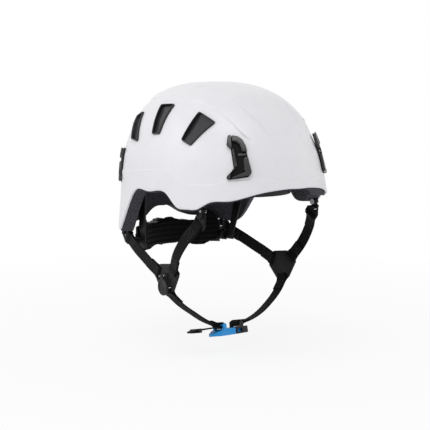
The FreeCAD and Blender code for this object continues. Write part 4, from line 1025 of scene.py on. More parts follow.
FRONT_CLIP = LampClip("front", (
    Block(((34.0, 68.0), (28.5, 67.0), (25.5, 58.0), (24.7, 47.0), (23.3, 28.0), (25.0, 23.0), (34.7, 19.5),
           (35.3, 23.0), (31.6, 32.0), (32.7, 54.0), (35.0, 58.0)), -0.4, 0.5, 3.0, 0.3),
    Block(((34.3, 67.3), (32.4, 68.0), (32.6, 61.1), (32.4, 54.1), (33.1, 55.3), (34.9, 57.3)),
          0.3, 4.0, 1.6, 1.0),
    Block(((32.2, 68.0), (28.9, 66.8), (26.9, 63.3), (25.5, 57.4), (24.9, 50.2), (27.4, 50.2), (27.8, 53.5),
           (28.6, 58.5), (30.3, 60.9), (32.4, 61.4)), 0.3, 3.8, 1.4, 0.9),
    Block(((24.9, 44.5), (23.7, 28.5), (24.6, 24.6), (32.6, 21.3), (32.5, 22.6), (26.5, 28.4), (27.0, 31.0),
           (27.0, 41.5), (26.3, 44.2)), 0.3, 3.7, 1.2, 0.9),
    Block(((34.9, 22.6), (33.6, 26.6), (31.9, 31.9), (30.4, 33.3), (33.3, 27.1), (33.5, 20.6),
           (34.6, 20.0)), 0.3, 3.2, 0.8, 0.6),
    Block(((32.2, 53.6), (31.5, 53.0), (30.4, 39.0), (30.0, 34.6), (31.4, 33.4)), 0.3, 3.0, 0.7, 0.6),
    Block(((25.2, 49.0), (25.4, 46.2), (29.4, 45.6), (29.6, 48.4)), 0.6, 1.9, 0.8, 0.5),
))
REAR_CLIP = LampClip("rear", (
    Block(((132.0, 48.0), (140.0, 48.0), (143.0, 40.0), (142.0, 10.0), (133.0, 5.0), (131.0, 11.0),
           (134.0, 20.0), (133.0, 38.0)), -0.4, 0.5, 3.0, 0.3),
    Block(((132.8, 47.0), (139.5, 47.0), (142.2, 39.5), (141.8, 34.0), (139.4, 34.0), (138.6, 41.5),
           (133.6, 42.0)), 0.3, 4.0, 1.6, 1.0),
    Block(((141.6, 30.0), (141.2, 11.2), (133.4, 6.8), (131.8, 11.0), (133.2, 14.0), (138.0, 15.0),
           (139.2, 30.0)), 0.3, 3.8, 1.4, 0.9),
    Block(((134.6, 38.0), (133.9, 22.0), (135.2, 21.0), (135.9, 38.0)), 0.6, 2.6, 0.6, 0.5),
))


# ---------------------------------------------------------------- webbing

@dataclass(frozen=True)
class Bar:
    """A strap bar: its middle, in millimetres, and the radius of the webbing's inner face round it."""

    middle: Vector
    radius: float


@dataclass
class StrapRun:
    """Webbing looped round two bars, folded back on itself and sewn at both ends."""

    name: str
    body: str
    top: Bar
    low: Bar
    along: Vector
    outside: Vector
    bow: float
    fold_top: float = 24.0
    fold_low: float = 20.0
    thick: float = 1.5
    wide: float = 15.0
    ripple: float = 0.25
    stitch_proud: float = 0.08

    def __post_init__(self) -> None:
        """Work out the arc on which the strap bows between its bars."""
        way = self.low.middle - self.top.middle
        self.length = way.length
        self.way = way.normalized()
        self.outward = way.cross(self.along).normalized()
        if self.outward.dot(self.outside) < 0:
            self.outward.negate()
        self.arc_radius = (self.length ** 2 / 4 + self.bow ** 2) / (2 * self.bow)
        self.arc_centre = (self.top.middle + way * 0.5) - self.outward * (self.arc_radius - self.bow)
        self.spread = math.asin(self.length / 2 / self.arc_radius)
        self.arc_length = 2 * self.spread * self.arc_radius

    def spot(self, reach: float, proud: float) -> Vector:
        """Point by its distance from the top bar along the arc and its height over the arc.

        Args:
            reach: distance along the arc.
            proud: height over it.

        Returns:
            The point.
        """
        angle = -self.spread + reach / self.arc_radius
        way = self.outward * math.cos(angle) + self.way * math.sin(angle)
        return self.arc_centre + way * (self.arc_radius + proud)

    def line(self) -> list[Vector]:
        """Centre line in reach and height: up the back, round the top, down the face and round below.

        Returns:
            Points with the reach as X and the height as Y.
        """
        half = self.thick / 2 + 0.05
        top, low, end = self.top.radius + self.thick / 2, self.low.radius + self.thick / 2, self.arc_length
        flat: list[tuple[float, float]] = [
            (self.fold_top, -half * 1.02), (self.fold_top * 0.7, -half), (self.fold_top * 0.4, -half)]
        flat += [(top * 1.9, -half * 1.5)]
        flat += [(top * math.cos(math.radians(a)), -top * math.sin(math.radians(a)))
                 for a in (62, 90, 120, 150, 180, 210, 240, 270, 298)]
        flat += [(top * 1.9, half * 1.5)]
        steps = max(6, int(end / 8))
        for step in range(steps + 1):
            share = step / steps
            reach = top * 3.2 + (end - 3.2 * (top + low)) * share
            single = math.sin(math.pi * share) ** 2
            wave = self.ripple * math.sin(9.0 * share + self.length)
            flat.append((reach, half * (1 - single) + wave * single))
        flat += [(end - low * 1.9, half * 1.5)]
        flat += [(end + low * math.cos(math.radians(a)), low * math.sin(math.radians(a)))
                 for a in (118, 90, 60, 30, 0, -30, -60, -90, -118)]
        flat += [(end - low * 1.9, -half * 1.5)]
        flat += [(end - self.fold_low * 0.4, -half), (end - self.fold_low * 0.7, -half),
                 (end - self.fold_low, -half * 1.02)]
        return [Vector((reach, proud, 0.0)) for reach, proud in flat]

    def build(self) -> None:
        """Make the strap and its seams."""
        centre = [self.spot(point.x, point.y) for point in smooth_line(self.line(), 5)]
        mesh = swept_webbing(centre, self.along, self.wide, self.thick)
        strap = dress(mesh, f"{self.name}_webbing", self.body, STRAP_WEBBING, [self.name], sharp=60.0)
        log.info("%s is %.0f mm long from bar to bar", strap.name, self.arc_length)
        seams = bmesh.new()
        for fold, start in ((self.fold_top, 0.0), (-self.fold_low, self.arc_length)):
            near, far = start + fold * 0.42, start + fold * 0.92
            rows = [(near, -0.36, near, 0.36), (far, -0.36, far, 0.36), (near, -0.36, far, -0.36),
                    (near, 0.36, far, 0.36), (near, -0.36, far, 0.36), (near, 0.36, far, -0.36)]
            for face in (1, -1):
                rise = face * (self.thick + self.stitch_proud)
                for reach_a, side_a, reach_b, side_b in rows:
                    ends = [self.spot(reach, rise) + self.along * side * self.wide
                            for reach, side in ((reach_a, side_a), (reach_b, side_b))]
                    stitch_row(seams, ends[0], ends[1])
        dress(seams, f"{self.name}_seams", self.body, SEAM_THREAD, sharp=80.0)


def smooth_line(points: Sequence[Vector], steps: int) -> list[Vector]:
    """Smooth curve through points, with the same number of steps between each two.

    Args:
        points: the points.
        steps: steps between two of them.

    Returns:
        The points of the curve.
    """
    padded = [points[0] * 2 - points[1], *points, points[-1] * 2 - points[-2]]
    line: list[Vector] = []
    for before, start, end, after in zip(padded, padded[1:], padded[2:], padded[3:]):
        for step in range(steps):
            t = step / steps
            line.append(0.5 * ((2 * start) + (end - before) * t
                               + (2 * before - 5 * start + 4 * end - after) * t ** 2
                               + (3 * start - before - 3 * end + after) * t ** 3))
    line.append(points[-1].copy())
    return line


def swept_webbing(centre: Sequence[Vector], along: Vector, wide: float, thick: float) -> bmesh.types.BMesh:
    """Webbing along a centre line: a flat section with woven, rounded edges.

    Args:
        centre: points of the centre line.
        along: direction of the strap's width.
        wide: its width.
        thick: its thickness.

    Returns:
        The closed mesh, with real lengths in its UV map.
    """
    along = along.normalized()
    half, edge = wide / 2, thick / 2
    flats = 8
    section = [(-half + edge + (wide - 2 * edge) * step / flats, edge) for step in range(flats + 1)]
    section += [(half - edge + edge * math.sin(a), edge * math.cos(a))
                for a in (math.pi / 4, math.pi / 2, 3 * math.pi / 4)]
    section += [(-across, -rise) for across, rise in section]
    lengths = [0.0]
    for start, end in zip(centre, centre[1:]):
        lengths.append(lengths[-1] + (end - start).length)
    frames = []
    for index, spot in enumerate(centre):
        run = (centre[min(index + 1, len(centre) - 1)] - centre[max(index - 1, 0)]).normalized()
        frames.append((spot, run.cross(along).normalized()))
    count, last = len(section), len(centre) - 1

    def place(share: float, round_share: float) -> Vector:
        spot, rise = frames[round(share * last)]
        across, high = section[round(round_share * count) % count]
        return spot + along * across + rise * high

    def measure(share: float, round_share: float) -> tuple[float, float]:
        across, _ = section[round(round_share * count) % count]
        return lengths[round(share * last)] * MM, (across + half) * MM

    mesh = sheet_mesh(last, count, place, measure)
    close_up(mesh, 0.005)
    return mesh


def stitch_row(mesh: bmesh.types.BMesh, start: Vector, end: Vector, pitch: float = 2.2) -> None:
    """Row of short proud stitches between two points.

    Args:
        mesh: gets the stitches.
        start: where the row begins.
        end: where it ends.
        pitch: distance from one stitch to the next.
    """
    way = end - start
    count = max(2, round(way.length / pitch))
    turn = way.to_track_quat("X", "Z").to_matrix().to_4x4()
    shape = Matrix.Diagonal((way.length / count * 0.44, 0.32, 0.26, 1.0))
    for step in range(count):
        middle = start + way * ((step + 0.5) / count)
        bmesh.ops.create_icosphere(mesh, subdivisions=1, radius=1.0,
                                   matrix=Matrix.Translation(middle) @ turn @ shape)


@dataclass(frozen=True)
class Axes:
    """A small frame: a middle and three directions, in millimetres."""

    base: Vector
    fore: Vector
    up: Vector
    out: Vector

    def spot(self, fore: float, up: float, out: float = 0.0) -> Vector:
        """Point of this frame in the helmet's own frame."""
        return self.base + self.fore * fore + self.up * up + self.out * out

    def turned(self, side: Side) -> Axes:
        """The same frame on one side of the helmet, where this one is on the right.

        Args:
            side: the side of the helmet.

        Returns:
            The frame there.
        """
        flip = Vector((-side.value, 1, 1))
        return Axes(self.base * flip, self.fore * flip, self.up * flip, self.out * flip)


@dataclass
class Harness:
    """The chin harness: side straps, chin straps and the loose end, with their sewn folds."""

    adjuster: Axes = field(default_factory=lambda: Axes(
        Vector((-90.5, -15.0, -103.0)), Vector((-0.0597776, -0.977134, 0.2040486)),
        Vector((0.0, 0.204415, 0.978879)), Vector((-0.99821, 0.05852, -0.01222))))
    buckle: Axes = field(default_factory=lambda: Axes(
        Vector((-9.0, -34.15, -172.0)), Vector((1.0, 0.0, 0.0)), Vector((0.0, 0.97888, -0.20442)),
        Vector((0.0, 0.20442, 0.97888))))
    pins: dict[str, Vector] = field(default_factory=lambda: {
        "front": Vector((-87.4, -79.0, -23.0)), "rear": Vector((-77.0, 91.0, -58.5))})
    bars: dict[str, tuple[float, float]] = field(default_factory=lambda: {
        "front": (18.0, 9.0), "rear": (-14.0, 10.0)})
    chin_bar: float = -14.0
    link_reach: float = 11.84
    link_loop: float = 2.05
    frame_loop: float = 2.33
    buckle_loop: float = 2.5
    bows: dict[str, float] = field(default_factory=lambda: {"front": 9.0, "rear": 3.0})
    chin_bows: dict[Side, float] = field(default_factory=lambda: {Side.RIGHT: 6.0, Side.LEFT: 12.0})
    buckle_bars: dict[Side, float] = field(default_factory=lambda: {Side.RIGHT: -16.0, Side.LEFT: 10.0})
    bar_lift: float = 8.6
    tail_start: float = -20.6
    tail_end: float = -60.2

    def side_strap(self, name: str, side: Side) -> StrapRun:
        """Strap from a link under the rim to the adjuster.

        Args:
            name: which strap, front or rear.
            side: the side of the helmet.

        Returns:
            The strap.
        """
        place = self.adjuster.turned(side)
        flip = Vector((-side.value, 1, 1))
        pin, bar = self.pins[name] * flip, place.spot(*self.bars[name])
        to_pin = pin - bar
        fore, up = to_pin.dot(place.fore), to_pin.dot(place.up)
        size = math.hypot(fore, up)
        way = (place.fore * fore + place.up * up) / size
        along = (place.up * fore - place.fore * up) / size
        return StrapRun(f"{name}_strap_{side.word}", f"harness_{side.word}",
                        Bar(pin - way * self.link_reach, self.link_loop), Bar(bar, self.frame_loop),
                        along, place.out, self.bows[name])

    def chin_strap(self, side: Side) -> StrapRun:
        """Strap from the adjuster's lower bar to its half of the buckle.

        Args:
            side: the side of the helmet.

        Returns:
            The strap.
        """
        place = self.adjuster.turned(side)
        start = place.spot(0, self.chin_bar)
        bar = self.buckle.spot(self.buckle_bars[side], 0, self.bar_lift)
        end = bar - place.fore * (bar - start).dot(place.fore)
        return StrapRun(f"chin_strap_{side.word}", f"harness_{side.word}", Bar(start, self.frame_loop),
                        Bar(end, self.buckle_loop), place.fore, UP * -1, self.chin_bows[side],
                        fold_top=20.0, fold_low=16.0)

    def loose_end(self) -> None:
        """Tail beyond the buckle, with its tip turned under and sewn."""
        level, half = self.bar_lift - 2.0, 0.72
        start, end = self.tail_start, self.tail_end
        flat = [(start, level), (start - 8, level + 0.1), (start - 18, level + 0.2),
                (start - 27, level + 0.1), (end + 4, level), (end + 0.9, level - 0.3),
                (end + 0.2, level - half), (end + 0.9, level - 1.3),
                (end + 4, level - 1.52), (end + 11, level - 1.5)]
        centre = smooth_line([self.buckle.spot(reach, 0, high + 0.35) for reach, high in flat], 5)
        mesh = swept_webbing(centre, self.buckle.up, 15.0, 1.4)
        dress(mesh, "strap_tail_webbing", "harness_right", STRAP_WEBBING, ["strap_tail"], sharp=60.0)
        seams = bmesh.new()
        for reach in (self.tail_end + 4.0, self.tail_end + 9.0):
            for rise in (level + 1.15, level - 1.95):
                stitch_row(seams, self.buckle.spot(reach, -5.6, rise), self.buckle.spot(reach, 5.6, rise))
        dress(seams, "strap_tail_seams", "harness_right", SEAM_THREAD, sharp=80.0)

    def build(self) -> None:
        """Make all the webbing."""
        for side in Side:
            for name in self.pins:
                self.side_strap(name, side).build()
            self.chin_strap(side).build()
        self.loose_end()


# ---------------------------------------------------------------- padded pieces

@dataclass
class StuffedPad:
    """Foam pad in a knit cover, blown up a little as cloth and then sewn into channels."""

    node: str
    seam: Callable[[Vector], float]
    voxel: float = 3.6
    shrink: float = 0.9
    cap: float = 1.3
    seam_depth: float = 1.1
    fill: float = 0.5
    lobes: Callable[[Vector], float] = staticmethod(lambda spot: 0.0)
    inward: Callable[[Vector], Vector] = staticmethod(
        lambda spot: Vector((-spot.x, -spot.y, 0)).normalized())

    def even(self, frame: dict) -> bpy.types.Object:
        """Evenly meshed copy of the node, a little smaller than it.

        Args:
            frame: the loaded frame.

        Returns:
            The copy, as an object.
        """
        mesh = node_copy(frame, self.node)
        long_edges = [edge for edge in mesh.edges if edge.calc_length() > 9]
        bmesh.ops.subdivide_edges(mesh, edges=long_edges, cuts=3)
        for vert in mesh.verts:
            vert.co.z += self.lobes(vert.co)
        bmesh.ops.scale(mesh, vec=(MM, MM, MM), verts=mesh.verts)
        item = scratch(mesh, f"{self.node}_blank")
        grid = item.modifiers.new("even", "REMESH")
        grid.mode, grid.voxel_size = "VOXEL", self.voxel * MM
        mesh = bmesh.new()
        mesh.from_object(item, bpy.context.evaluated_depsgraph_get())
        bpy.data.objects.remove(item)
        for _ in range(4):
            bmesh.ops.smooth_vert(mesh, verts=mesh.verts, factor=0.5, use_axis_x=True, use_axis_y=True,
                                  use_axis_z=True)
        mesh.normal_update()
        for vert, spot in [(vert, vert.co - vert.normal * (self.shrink * MM)) for vert in mesh.verts]:
            vert.co = spot
        return scratch(mesh, f"{self.node}_even")

    def blown(self, item: bpy.types.Object) -> bmesh.types.BMesh:
        """Result of the cloth run, with every point kept near where it began.

        Args:
            item: the even copy.

        Returns:
            The blown shape, in metres.
        """
        mesh = bmesh.new()
        cloth = item.modifiers.new("cloth", "CLOTH")
        cloth.settings.quality = 5
        cloth.settings.mass = 0.2
        cloth.settings.use_pressure = True
        cloth.settings.uniform_pressure_force = 4.0
        cloth.settings.effector_weights.gravity = 0.0
        cloth.point_cache.frame_start, cloth.point_cache.frame_end = 1, 20
        for frame_number in range(1, 21):
            bpy.context.scene.frame_set(frame_number)
        mesh.from_object(item, bpy.context.evaluated_depsgraph_get())
        limit = self.cap * MM
        for vert, start in zip(mesh.verts, item.data.vertices):
            move = vert.co - start.co
            if move.length > limit:
                vert.co = start.co + move.normalized() * limit
        bpy.context.scene.frame_set(1)
        return mesh

    def build(self, frame: dict) -> bpy.types.Object:
        """Make the pad.

        Args:
            frame: the loaded frame.

        Returns:
            The sewn pad.
        """
        item = self.even(frame)
        mesh = self.blown(item)
        bpy.data.objects.remove(item)
        bmesh.ops.subdivide_edges(mesh, edges=mesh.edges, cuts=1, smooth=0.6, use_grid_fill=True)
        bmesh.ops.scale(mesh, vec=(1 / MM, 1 / MM, 1 / MM), verts=mesh.verts)
        bmesh.ops.smooth_vert(mesh, verts=mesh.verts, factor=0.4, use_axis_x=True, use_axis_y=True,
                              use_axis_z=True)
        mesh.normal_update()
        for vert, sunk in [(vert, self.sunk(vert)) for vert in mesh.verts]:
            vert.co = sunk
        body = body_of(frame["nodes"][self.node])[0]
        piece = dress(mesh, f"{self.node}_cover", body, PAD_KNIT, [self.node], sharp=170.0)
        return piece

    def sunk(self, vert: bmesh.types.BMVert) -> Vector:
        """Where a point goes when the channels are pulled in on the face that meets the head.

        Args:
            vert: the point.

        Returns:
            Its new place.
        """
        facing = max(vert.normal.dot(self.inward(vert.co)), 0.0)
        gap = self.seam(vert.co)
        pull = self.seam_depth * math.exp(-(gap / 1.3) ** 2) * facing
        return vert.co - vert.normal * pull


def nape_lobes(spot: Vector) -> float:
    """How much higher or lower the nape pad's edges run: full ends, a middle bump and a wavy lower edge.

    Args:
        spot: point of the pad, in millimetres.

    Returns:
        How far the point is moved up.
    """
    side = abs(spot.x)
    upper = 4.2 * math.exp(-((side - 53) / 7.5) ** 2) + 2.4 * math.exp(-(side / 9) ** 2) - 1.4 * math.exp(
        -((side - 34) / 9) ** 2)
    lower = -3.2 * math.exp(-((side - 44) / 11) ** 2) + 1.6 * math.exp(-((side - 20) / 8) ** 2)
    return upper * smooth_step(spot.z + 56, 16) + lower * smooth_step(-72 - spot.z, 14)


def channel(value: float, first: float, pitch: float, count: int) -> float:
    """Distance of a value from the nearest of several even seams.

    Args:
        value: where the point is.
        first: where the first seam is.
        pitch: from one seam to the next.
        count: number of seams.

    Returns:
        The distance.
    """
    nearest = min(max(round((value - first) / pitch), 0), count - 1)
    return abs(value - first - pitch * nearest)


PADS = (
    StuffedPad("nape_pad", lambda spot: channel(spot.z, -80.0, 6.4, 6), voxel=3.0, shrink=0.3, cap=1.2,
               seam_depth=1.5, fill=0.6, lobes=nape_lobes),
    StuffedPad("forehead_pad", lambda spot: min(channel(spot.z, 2.0, 12.0, 2),
                                                channel(spot.x, -44.0, 22.0, 5)),
               shrink=0.4, cap=1.1, seam_depth=1.0),
    StuffedPad("crown_pad", lambda spot: min(abs(spot.x), channel(spot.y, -26.0, 13.0, 5)),
               shrink=0.4, cap=1.1, seam_depth=1.0, inward=lambda spot: Vector((0, 0, -1))),
)


# ---------------------------------------------------------------- hard pieces

# Black glass-filled nylon of the lamp clips: satin, with painted highlights on the corners.
CLIP_NYLON = MouldedPlastic("black_clip_nylon", "#151518", 0.26, "trim", grain_mm=0.7, grain_depth=0.02,
                            worn="#7a7a82", wear=0.5, shine=0.6)
# The clip's sunk base: the same nylon, matt where the tool was left rough, and painted darker as shade in
# the recess under the rails.
SHADED_PLATE_NYLON = MouldedPlastic("matt_plate_nylon", "#050506", 0.6, "trim", grain_mm=0.5, grain_depth=0.03,
                             shine=0.15)
# Deep black polished trays behind the vents, with light grey painted highlights on their edges.
TRAY_NYLON = MouldedPlastic("gloss_tray_nylon", "#141418", 0.22, "trim", grain_mm=0.9, grain_depth=0.012,
                            shade="#3a3a40", worn="#8a8a90", wear=0.6)
# Mid-grey acetal of the round levers, a step lighter than their frames, with a grey painted highlight on
# the edges.
LEVER_ACETAL = MouldedPlastic("grey_lever_acetal", "#141417", 0.4, "adjuster", grain_mm=0.6,
                              grain_depth=0.02, worn="#84848a", wear=0.4, shine=0.26)

FINISHES = (SHELL_ABS, LINER_FOAM, TRIM_NYLON, CLIP_NYLON, SHADED_PLATE_NYLON, TRAY_NYLON,
            BAND_POLYPROPYLENE, RACK_ACETAL, ADJUSTER_ACETAL, LEVER_ACETAL, BUCKLE_ACETAL,
            STRAP_WEBBING, SEAM_THREAD, PAD_KNIT, FASTENER_STEEL)


@dataclass
class Hardware:
    """Moulded and metal pieces: some with eased corners, the rest as they are with a finish."""

    eased: tuple[tuple[str, Finish, float], ...] = (
        ("strap_bracket_front", ADJUSTER_ACETAL, 0.5),
        ("strap_bracket_rear", ADJUSTER_ACETAL, 0.5), ("strap_link_front", ADJUSTER_ACETAL, 0.5),
        ("strap_link_rear", ADJUSTER_ACETAL, 0.5), ("adjuster_frame", ADJUSTER_ACETAL, 0.7),
        ("side_arm", BAND_POLYPROPYLENE, 0.4), ("band_strip", BAND_POLYPROPYLENE, 0.25))
    single: tuple[tuple[str, Finish, float], ...] = (
        ("front_headband", BAND_POLYPROPYLENE, 0.4), ("nape_cradle", BAND_POLYPROPYLENE, 0.4),
        ("ratchet_housing", BAND_POLYPROPYLENE, 0.4), ("ratchet_cover", BAND_POLYPROPYLENE, 0.4),
        ("ratchet_knob", ADJUSTER_ACETAL, 0.5),
        ("buckle_prong_front", BUCKLE_ACETAL, 0.4), ("buckle_prong_rear", BUCKLE_ACETAL, 0.4),
        ("buckle_frame", TRIM_NYLON, 0.7), ("strap_keeper", TRIM_NYLON, 0.4))
    kept: tuple[tuple[str, Finish], ...] = (
        ("impact_liner", LINER_FOAM), ("headband_plugs", BAND_POLYPROPYLENE),
        ("arm_pivots", FASTENER_STEEL),
        ("band_rack_right", RACK_ACETAL), ("band_rack_left", RACK_ACETAL), ("drive_pinion", RACK_ACETAL),
        ("cover_screws", FASTENER_STEEL), ("detent_spring", FASTENER_STEEL), ("knob_screw", FASTENER_STEEL),
        ("bracket_rivets", FASTENER_STEEL), ("lever_pin_right", FASTENER_STEEL),
        ("lever_pin_left", FASTENER_STEEL))
    buckle: Axes = field(default_factory=lambda: Harness().buckle)

    def wing(self, spot: Vector) -> Vector:
        """Thin the buckle's wing towards its point, which droops a little.

        Args:
            spot: point of the buckle.

        Returns:
            Its new place.
        """
        local = spot - self.buckle.base
        reach, high = local.dot(self.buckle.fore), local.dot(self.buckle.out)
        share = min(max((-18.0 - reach) / 13.0, 0.0), 1.0)
        if share == 0.0 or high > 4.6:
            return spot
        return spot + self.buckle.out * (-(high + 4.0) * 0.62 * share + 0.9 * share)

    def build(self, frame: dict) -> None:
        """Make or finish every hard piece."""
        for stem, finish, ease in self.eased:
            for side in Side:
                eased_copy(frame, f"{stem}_{side.word}", finish, ease)
        for name, finish, ease in self.single:
            eased_copy(frame, name, finish, ease)
        eased_copy(frame, "buckle_body", BUCKLE_ACETAL, 0.9, 3, self.wing)
        for name, finish in self.kept:
            item = frame["nodes"][name]
            item.data.materials.clear()
            item.data.materials.append(RACK.made[finish.name])
            log.info("%s keeps its shape in %s", name, finish.name)


@dataclass
class CamLever:
    """Round lever of an adjuster: a dished disc with a raised rim, finger ribs and a hinge neck."""

    harness: Harness
    middle: float = -1.5
    height: float = -8.2
    rise: float = 4.32
    radius: float = 10.0
    thick: float = 3.0
    neck_high: float = 1.5
    rib_count: int = 5

    def disc(self, place: Axes) -> bmesh.types.BMesh:
        """Turned profile of the disc, closed at its middle.

        Args:
            place: the adjuster's frame.

        Returns:
            The disc.
        """
        profile = ((0.01, 0.0), (self.radius - 0.9, 0.0), (self.radius - 0.3, 0.25), (self.radius, 0.9),
                   (self.radius, self.thick - 0.9), (self.radius - 0.35, self.thick - 0.3),
                   (self.radius - 1.1, self.thick), (self.radius - 1.9, self.thick - 0.05),
                   (self.radius - 2.6, self.thick - 0.55), (self.radius * 0.4, self.thick - 0.75),
                   (0.01, self.thick - 0.8))
        turns = 72

        def spot(round_share: float, along: float) -> Vector:
            reach, high = profile[round(along * (len(profile) - 1))]
            angle = 2 * math.pi * round_share
            return place.spot(self.middle + reach * math.cos(angle), self.height + reach * math.sin(angle),
                              self.rise + high)

        mesh = sheet_mesh(turns, len(profile) - 1, spot)
        close_up(mesh, 0.02)
        return mesh

    def ribs(self, mesh: bmesh.types.BMesh, place: Axes) -> None:
        """Raised finger ribs over the disc's lower half, with rounded ends.

        Args:
            mesh: gets the ribs.
            place: the adjuster's frame.
        """
        for number in range(self.rib_count):
            high = self.height - 1.2 - 1.45 * number
            half = math.sqrt(max((self.radius - 3.2) ** 2 - (high - self.height) ** 2, 1.0))
            turn = Matrix((place.fore, place.up, place.out)).transposed().to_4x4()
            shape = Matrix.Diagonal((half, 0.5, 0.6, 1.0))
            spot = place.spot(self.middle, high, self.rise + self.thick - 0.72)
            bmesh.ops.create_uvsphere(mesh, u_segments=24, v_segments=10, radius=1.0,
                                      matrix=Matrix.Translation(spot) @ turn @ shape)

    def neck(self, frame: dict, side: Side) -> bmesh.types.BMesh:
        """The lever's own knuckle and neck, eased.

        Args:
            frame: the loaded frame.
            side: the side of the helmet.

        Returns:
            The neck.
        """
        mesh = node_copy(frame, f"adjuster_lever_{side.word}")
        bmesh.ops.dissolve_limit(mesh, angle_limit=math.radians(1.0), verts=mesh.verts, edges=mesh.edges)
        edges = [edge for edge in mesh.edges
                 if len(edge.link_faces) == 2 and edge.calc_face_angle(0.0) > math.radians(40)]
        bmesh.ops.bevel(mesh, geom=edges, offset=0.35, offset_type="OFFSET", segments=2, profile=0.5,
                        affect="EDGES", clamp_overlap=True, material=-1)
        place = self.harness.adjuster.turned(side)
        for vert in mesh.verts:
            high = (vert.co - place.base).dot(place.out) - self.rise
            if self.in_disc(vert.co, place) and high > self.neck_high:
                vert.co -= place.out * min(high - self.neck_high + 0.1, 1.2)
        bmesh.ops.triangulate(mesh, faces=[face for face in mesh.faces if len(face.verts) > 4])
        return mesh

    def in_disc(self, spot: Vector, place: Axes) -> bool:
        """Whether a point lies within the disc's outline.

        Args:
            spot: the point.
            place: the adjuster's frame.

        Returns:
            True where it does.
        """
        local = spot - place.base
        reach = math.hypot(local.dot(place.fore) - self.middle, local.dot(place.up) - self.height)
        return reach < self.radius + 0.5

    def build(self, frame: dict) -> None:
        """Make the lever on both sides."""
        for side in Side:
            place = self.harness.adjuster.turned(side)
            mesh = self.neck(frame, side)
            disc = self.disc(place)
            self.ribs(disc, place)
            bmesh.ops.recalc_face_normals(disc, faces=disc.faces)
            join_in(mesh, disc)
            dress(mesh, f"adjuster_lever_{side.word}_piece", f"lever_{side.word}", LEVER_ACETAL,
                  [f"adjuster_lever_{side.word}"], sharp=45.0)


# ---------------------------------------------------------------- studio

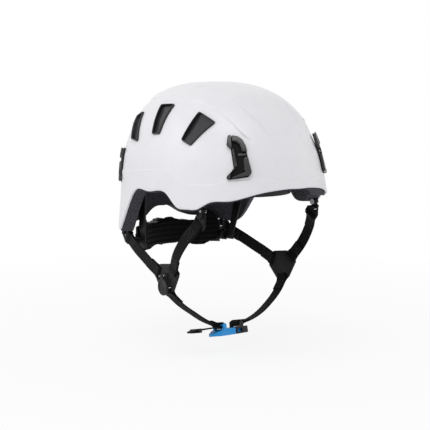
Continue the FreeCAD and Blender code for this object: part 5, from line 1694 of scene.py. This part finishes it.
@dataclass
class Studio:
    """Pale floor, white surroundings, soft lamps and the camera."""

    azimuth: float = -39.0
    elevation: float = 5.0
    distance: float = 1.5
    lens: float = 102.35
    shift: tuple[float, float] = (-0.0086, -0.0642)
    gap: float = 0.02
    paper_share: float = 0.86
    fade: tuple[float, float] = (0.25, 0.9)
    sky: float = 0.5
    lamps: tuple[tuple[str, tuple[float, float, float], float, float], ...] = (
        ("key_lamp", (-1.0, -0.9, 2.0), 1.6, 18.5), ("fill_lamp", (1.8, -1.2, 0.7), 1.6, 5.0),
        ("rim_lamp", (-1.8, 1.0, 0.9), 1.2, 9.0))

    def looked_at(self, tree: bpy.types.NodeTree) -> bpy.types.NodeSocket:
        """Socket that is 1 for what is seen: straight, in a reflection or through something clear."""
        path = add_node(tree, "ShaderNodeLightPath")
        seen = path.outputs["Is Camera Ray"]
        for name in ("Is Glossy Ray", "Is Transmission Ray"):
            seen = add_node(tree, "ShaderNodeMath", {"operation": "MAXIMUM"},
                            {0: seen, 1: path.outputs[name]}).outputs[0]
        return seen

    def paper(self, tree: bpy.types.NodeTree, lit: bpy.types.Node, output: bpy.types.Node) -> None:
        """Let the camera see plain white over a lit surface, wholly so far from the helmet.

        Args:
            tree: the node tree.
            lit: the surface that takes light and shadow.
            output: the tree's output.
        """
        white = add_node(tree, "ShaderNodeEmission",
                         inputs={"Color": (1.0, 1.0, 1.0, 1.0), "Strength": 1.0})
        where = add_node(tree, "ShaderNodeTexCoord")
        far = add_node(tree, "ShaderNodeVectorMath", {"operation": "LENGTH"}, {0: where.outputs["Object"]})
        fade = add_node(tree, "ShaderNodeMapRange", inputs={
            "Value": far.outputs["Value"], "From Min": self.fade[0], "From Max": self.fade[1],
            "To Min": self.paper_share, "To Max": 1.0})
        seen = add_node(tree, "ShaderNodeMath", {"operation": "MULTIPLY"},
                        {0: self.looked_at(tree), 1: fade.outputs[0]})
        mix = add_node(tree, "ShaderNodeMixShader",
                       inputs={0: seen.outputs[0], 1: lit.outputs[0], 2: white.outputs[0]})
        tree.links.new(mix.outputs[0], output.inputs["Surface"])

    def floor(self, level: float) -> None:
        """Wide pale floor under the helmet."""
        material = bpy.data.materials.new("studio_paper")
        material.use_nodes = True
        tree = material.node_tree
        tree.nodes.clear()
        lit = add_node(tree, "ShaderNodeBsdfDiffuse", inputs={"Color": (0.93, 0.93, 0.93, 1.0)})
        self.paper(tree, lit, add_node(tree, "ShaderNodeOutputMaterial"))
        mesh = bmesh.new()
        bmesh.ops.create_grid(mesh, x_segments=8, y_segments=8, size=12.0)
        bmesh.ops.translate(mesh, vec=(0, 0, level - self.gap), verts=mesh.verts)
        ground = scratch(mesh, "studio_floor")
        ground.data.materials.append(material)
        ground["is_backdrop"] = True

    def world(self) -> None:
        """Soft white light from everywhere, pure white to the camera and to reflections."""
        world = bpy.data.worlds.new("studio_world")
        world.use_nodes = True
        bpy.context.scene.world = world
        tree = world.node_tree
        tree.nodes.clear()
        plain = (1.0, 1.0, 1.0, 1.0)
        lit = add_node(tree, "ShaderNodeBackground", inputs={"Color": plain, "Strength": self.sky})
        white = add_node(tree, "ShaderNodeBackground", inputs={"Color": plain, "Strength": 1.0})
        mix = add_node(tree, "ShaderNodeMixShader",
                       inputs={0: self.looked_at(tree), 1: lit.outputs[0], 2: white.outputs[0]})
        add_node(tree, "ShaderNodeOutputWorld", inputs={"Surface": mix.outputs[0]})

    def lamp(self, name: str, spot: Vector, size: float, power: float) -> None:
        """Soft square lamp that faces the helmet.

        Args:
            name: the lamp's name.
            spot: where it stands, in metres.
            size: its side, in metres.
            power: its power, in watts.
        """
        data = bpy.data.lights.new(name, "AREA")
        data.shape, data.size, data.energy = "SQUARE", size, power
        item = bpy.data.objects.new(name, data)
        item.location = spot
        item.rotation_mode = "QUATERNION"
        item.rotation_quaternion = spot.normalized().to_track_quat("Z", "Y")
        bpy.context.scene.collection.objects.link(item)

    def camera(self) -> None:
        """Camera low at the wearer's front right."""
        turn, rise = math.radians(self.azimuth), math.radians(self.elevation)
        back = Vector((math.sin(turn) * math.cos(rise), -math.cos(turn) * math.cos(rise), math.sin(rise)))
        right = Vector((math.cos(turn), math.sin(turn), 0.0))
        up = back.cross(right)
        data = bpy.data.cameras.new("camera")
        data.lens, data.sensor_width = self.lens, 36.0
        data.shift_x, data.shift_y = self.shift
        item = bpy.data.objects.new("camera", data)
        basis = Matrix((right, up, back)).transposed().to_4x4()
        item.matrix_world = Matrix.Translation(back * self.distance) @ basis
        bpy.context.scene.collection.objects.link(item)
        bpy.context.scene.camera = item

    def build(self, level: float) -> None:
        """Set the stage under an object whose lowest point is at a level."""
        self.camera()
        self.floor(level)
        self.world()
        for name, spot, size, power in self.lamps:
            self.lamp(name, Vector(spot), size, power)
        bpy.context.scene.view_settings.view_transform = "Standard"


def main() -> None:
    """Dress the frame and set the stage."""
    logging.basicConfig(level=logging.INFO, format="%(message)s")
    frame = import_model()
    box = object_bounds()
    RACK.add(FINISHES)
    ShellSkin().build()
    for vent in VENTS:
        vent.build()
    for clip in (FRONT_CLIP, REAR_CLIP):
        clip.build()
    harness = Harness()
    harness.build()
    Hardware().build(frame)
    CamLever(harness).build(frame)
    for pad in PADS:
        pad.build(frame)
    Studio().build(box[0].z)
    bpy.context.view_layer.update()


if __name__ == "__main__":
    main()
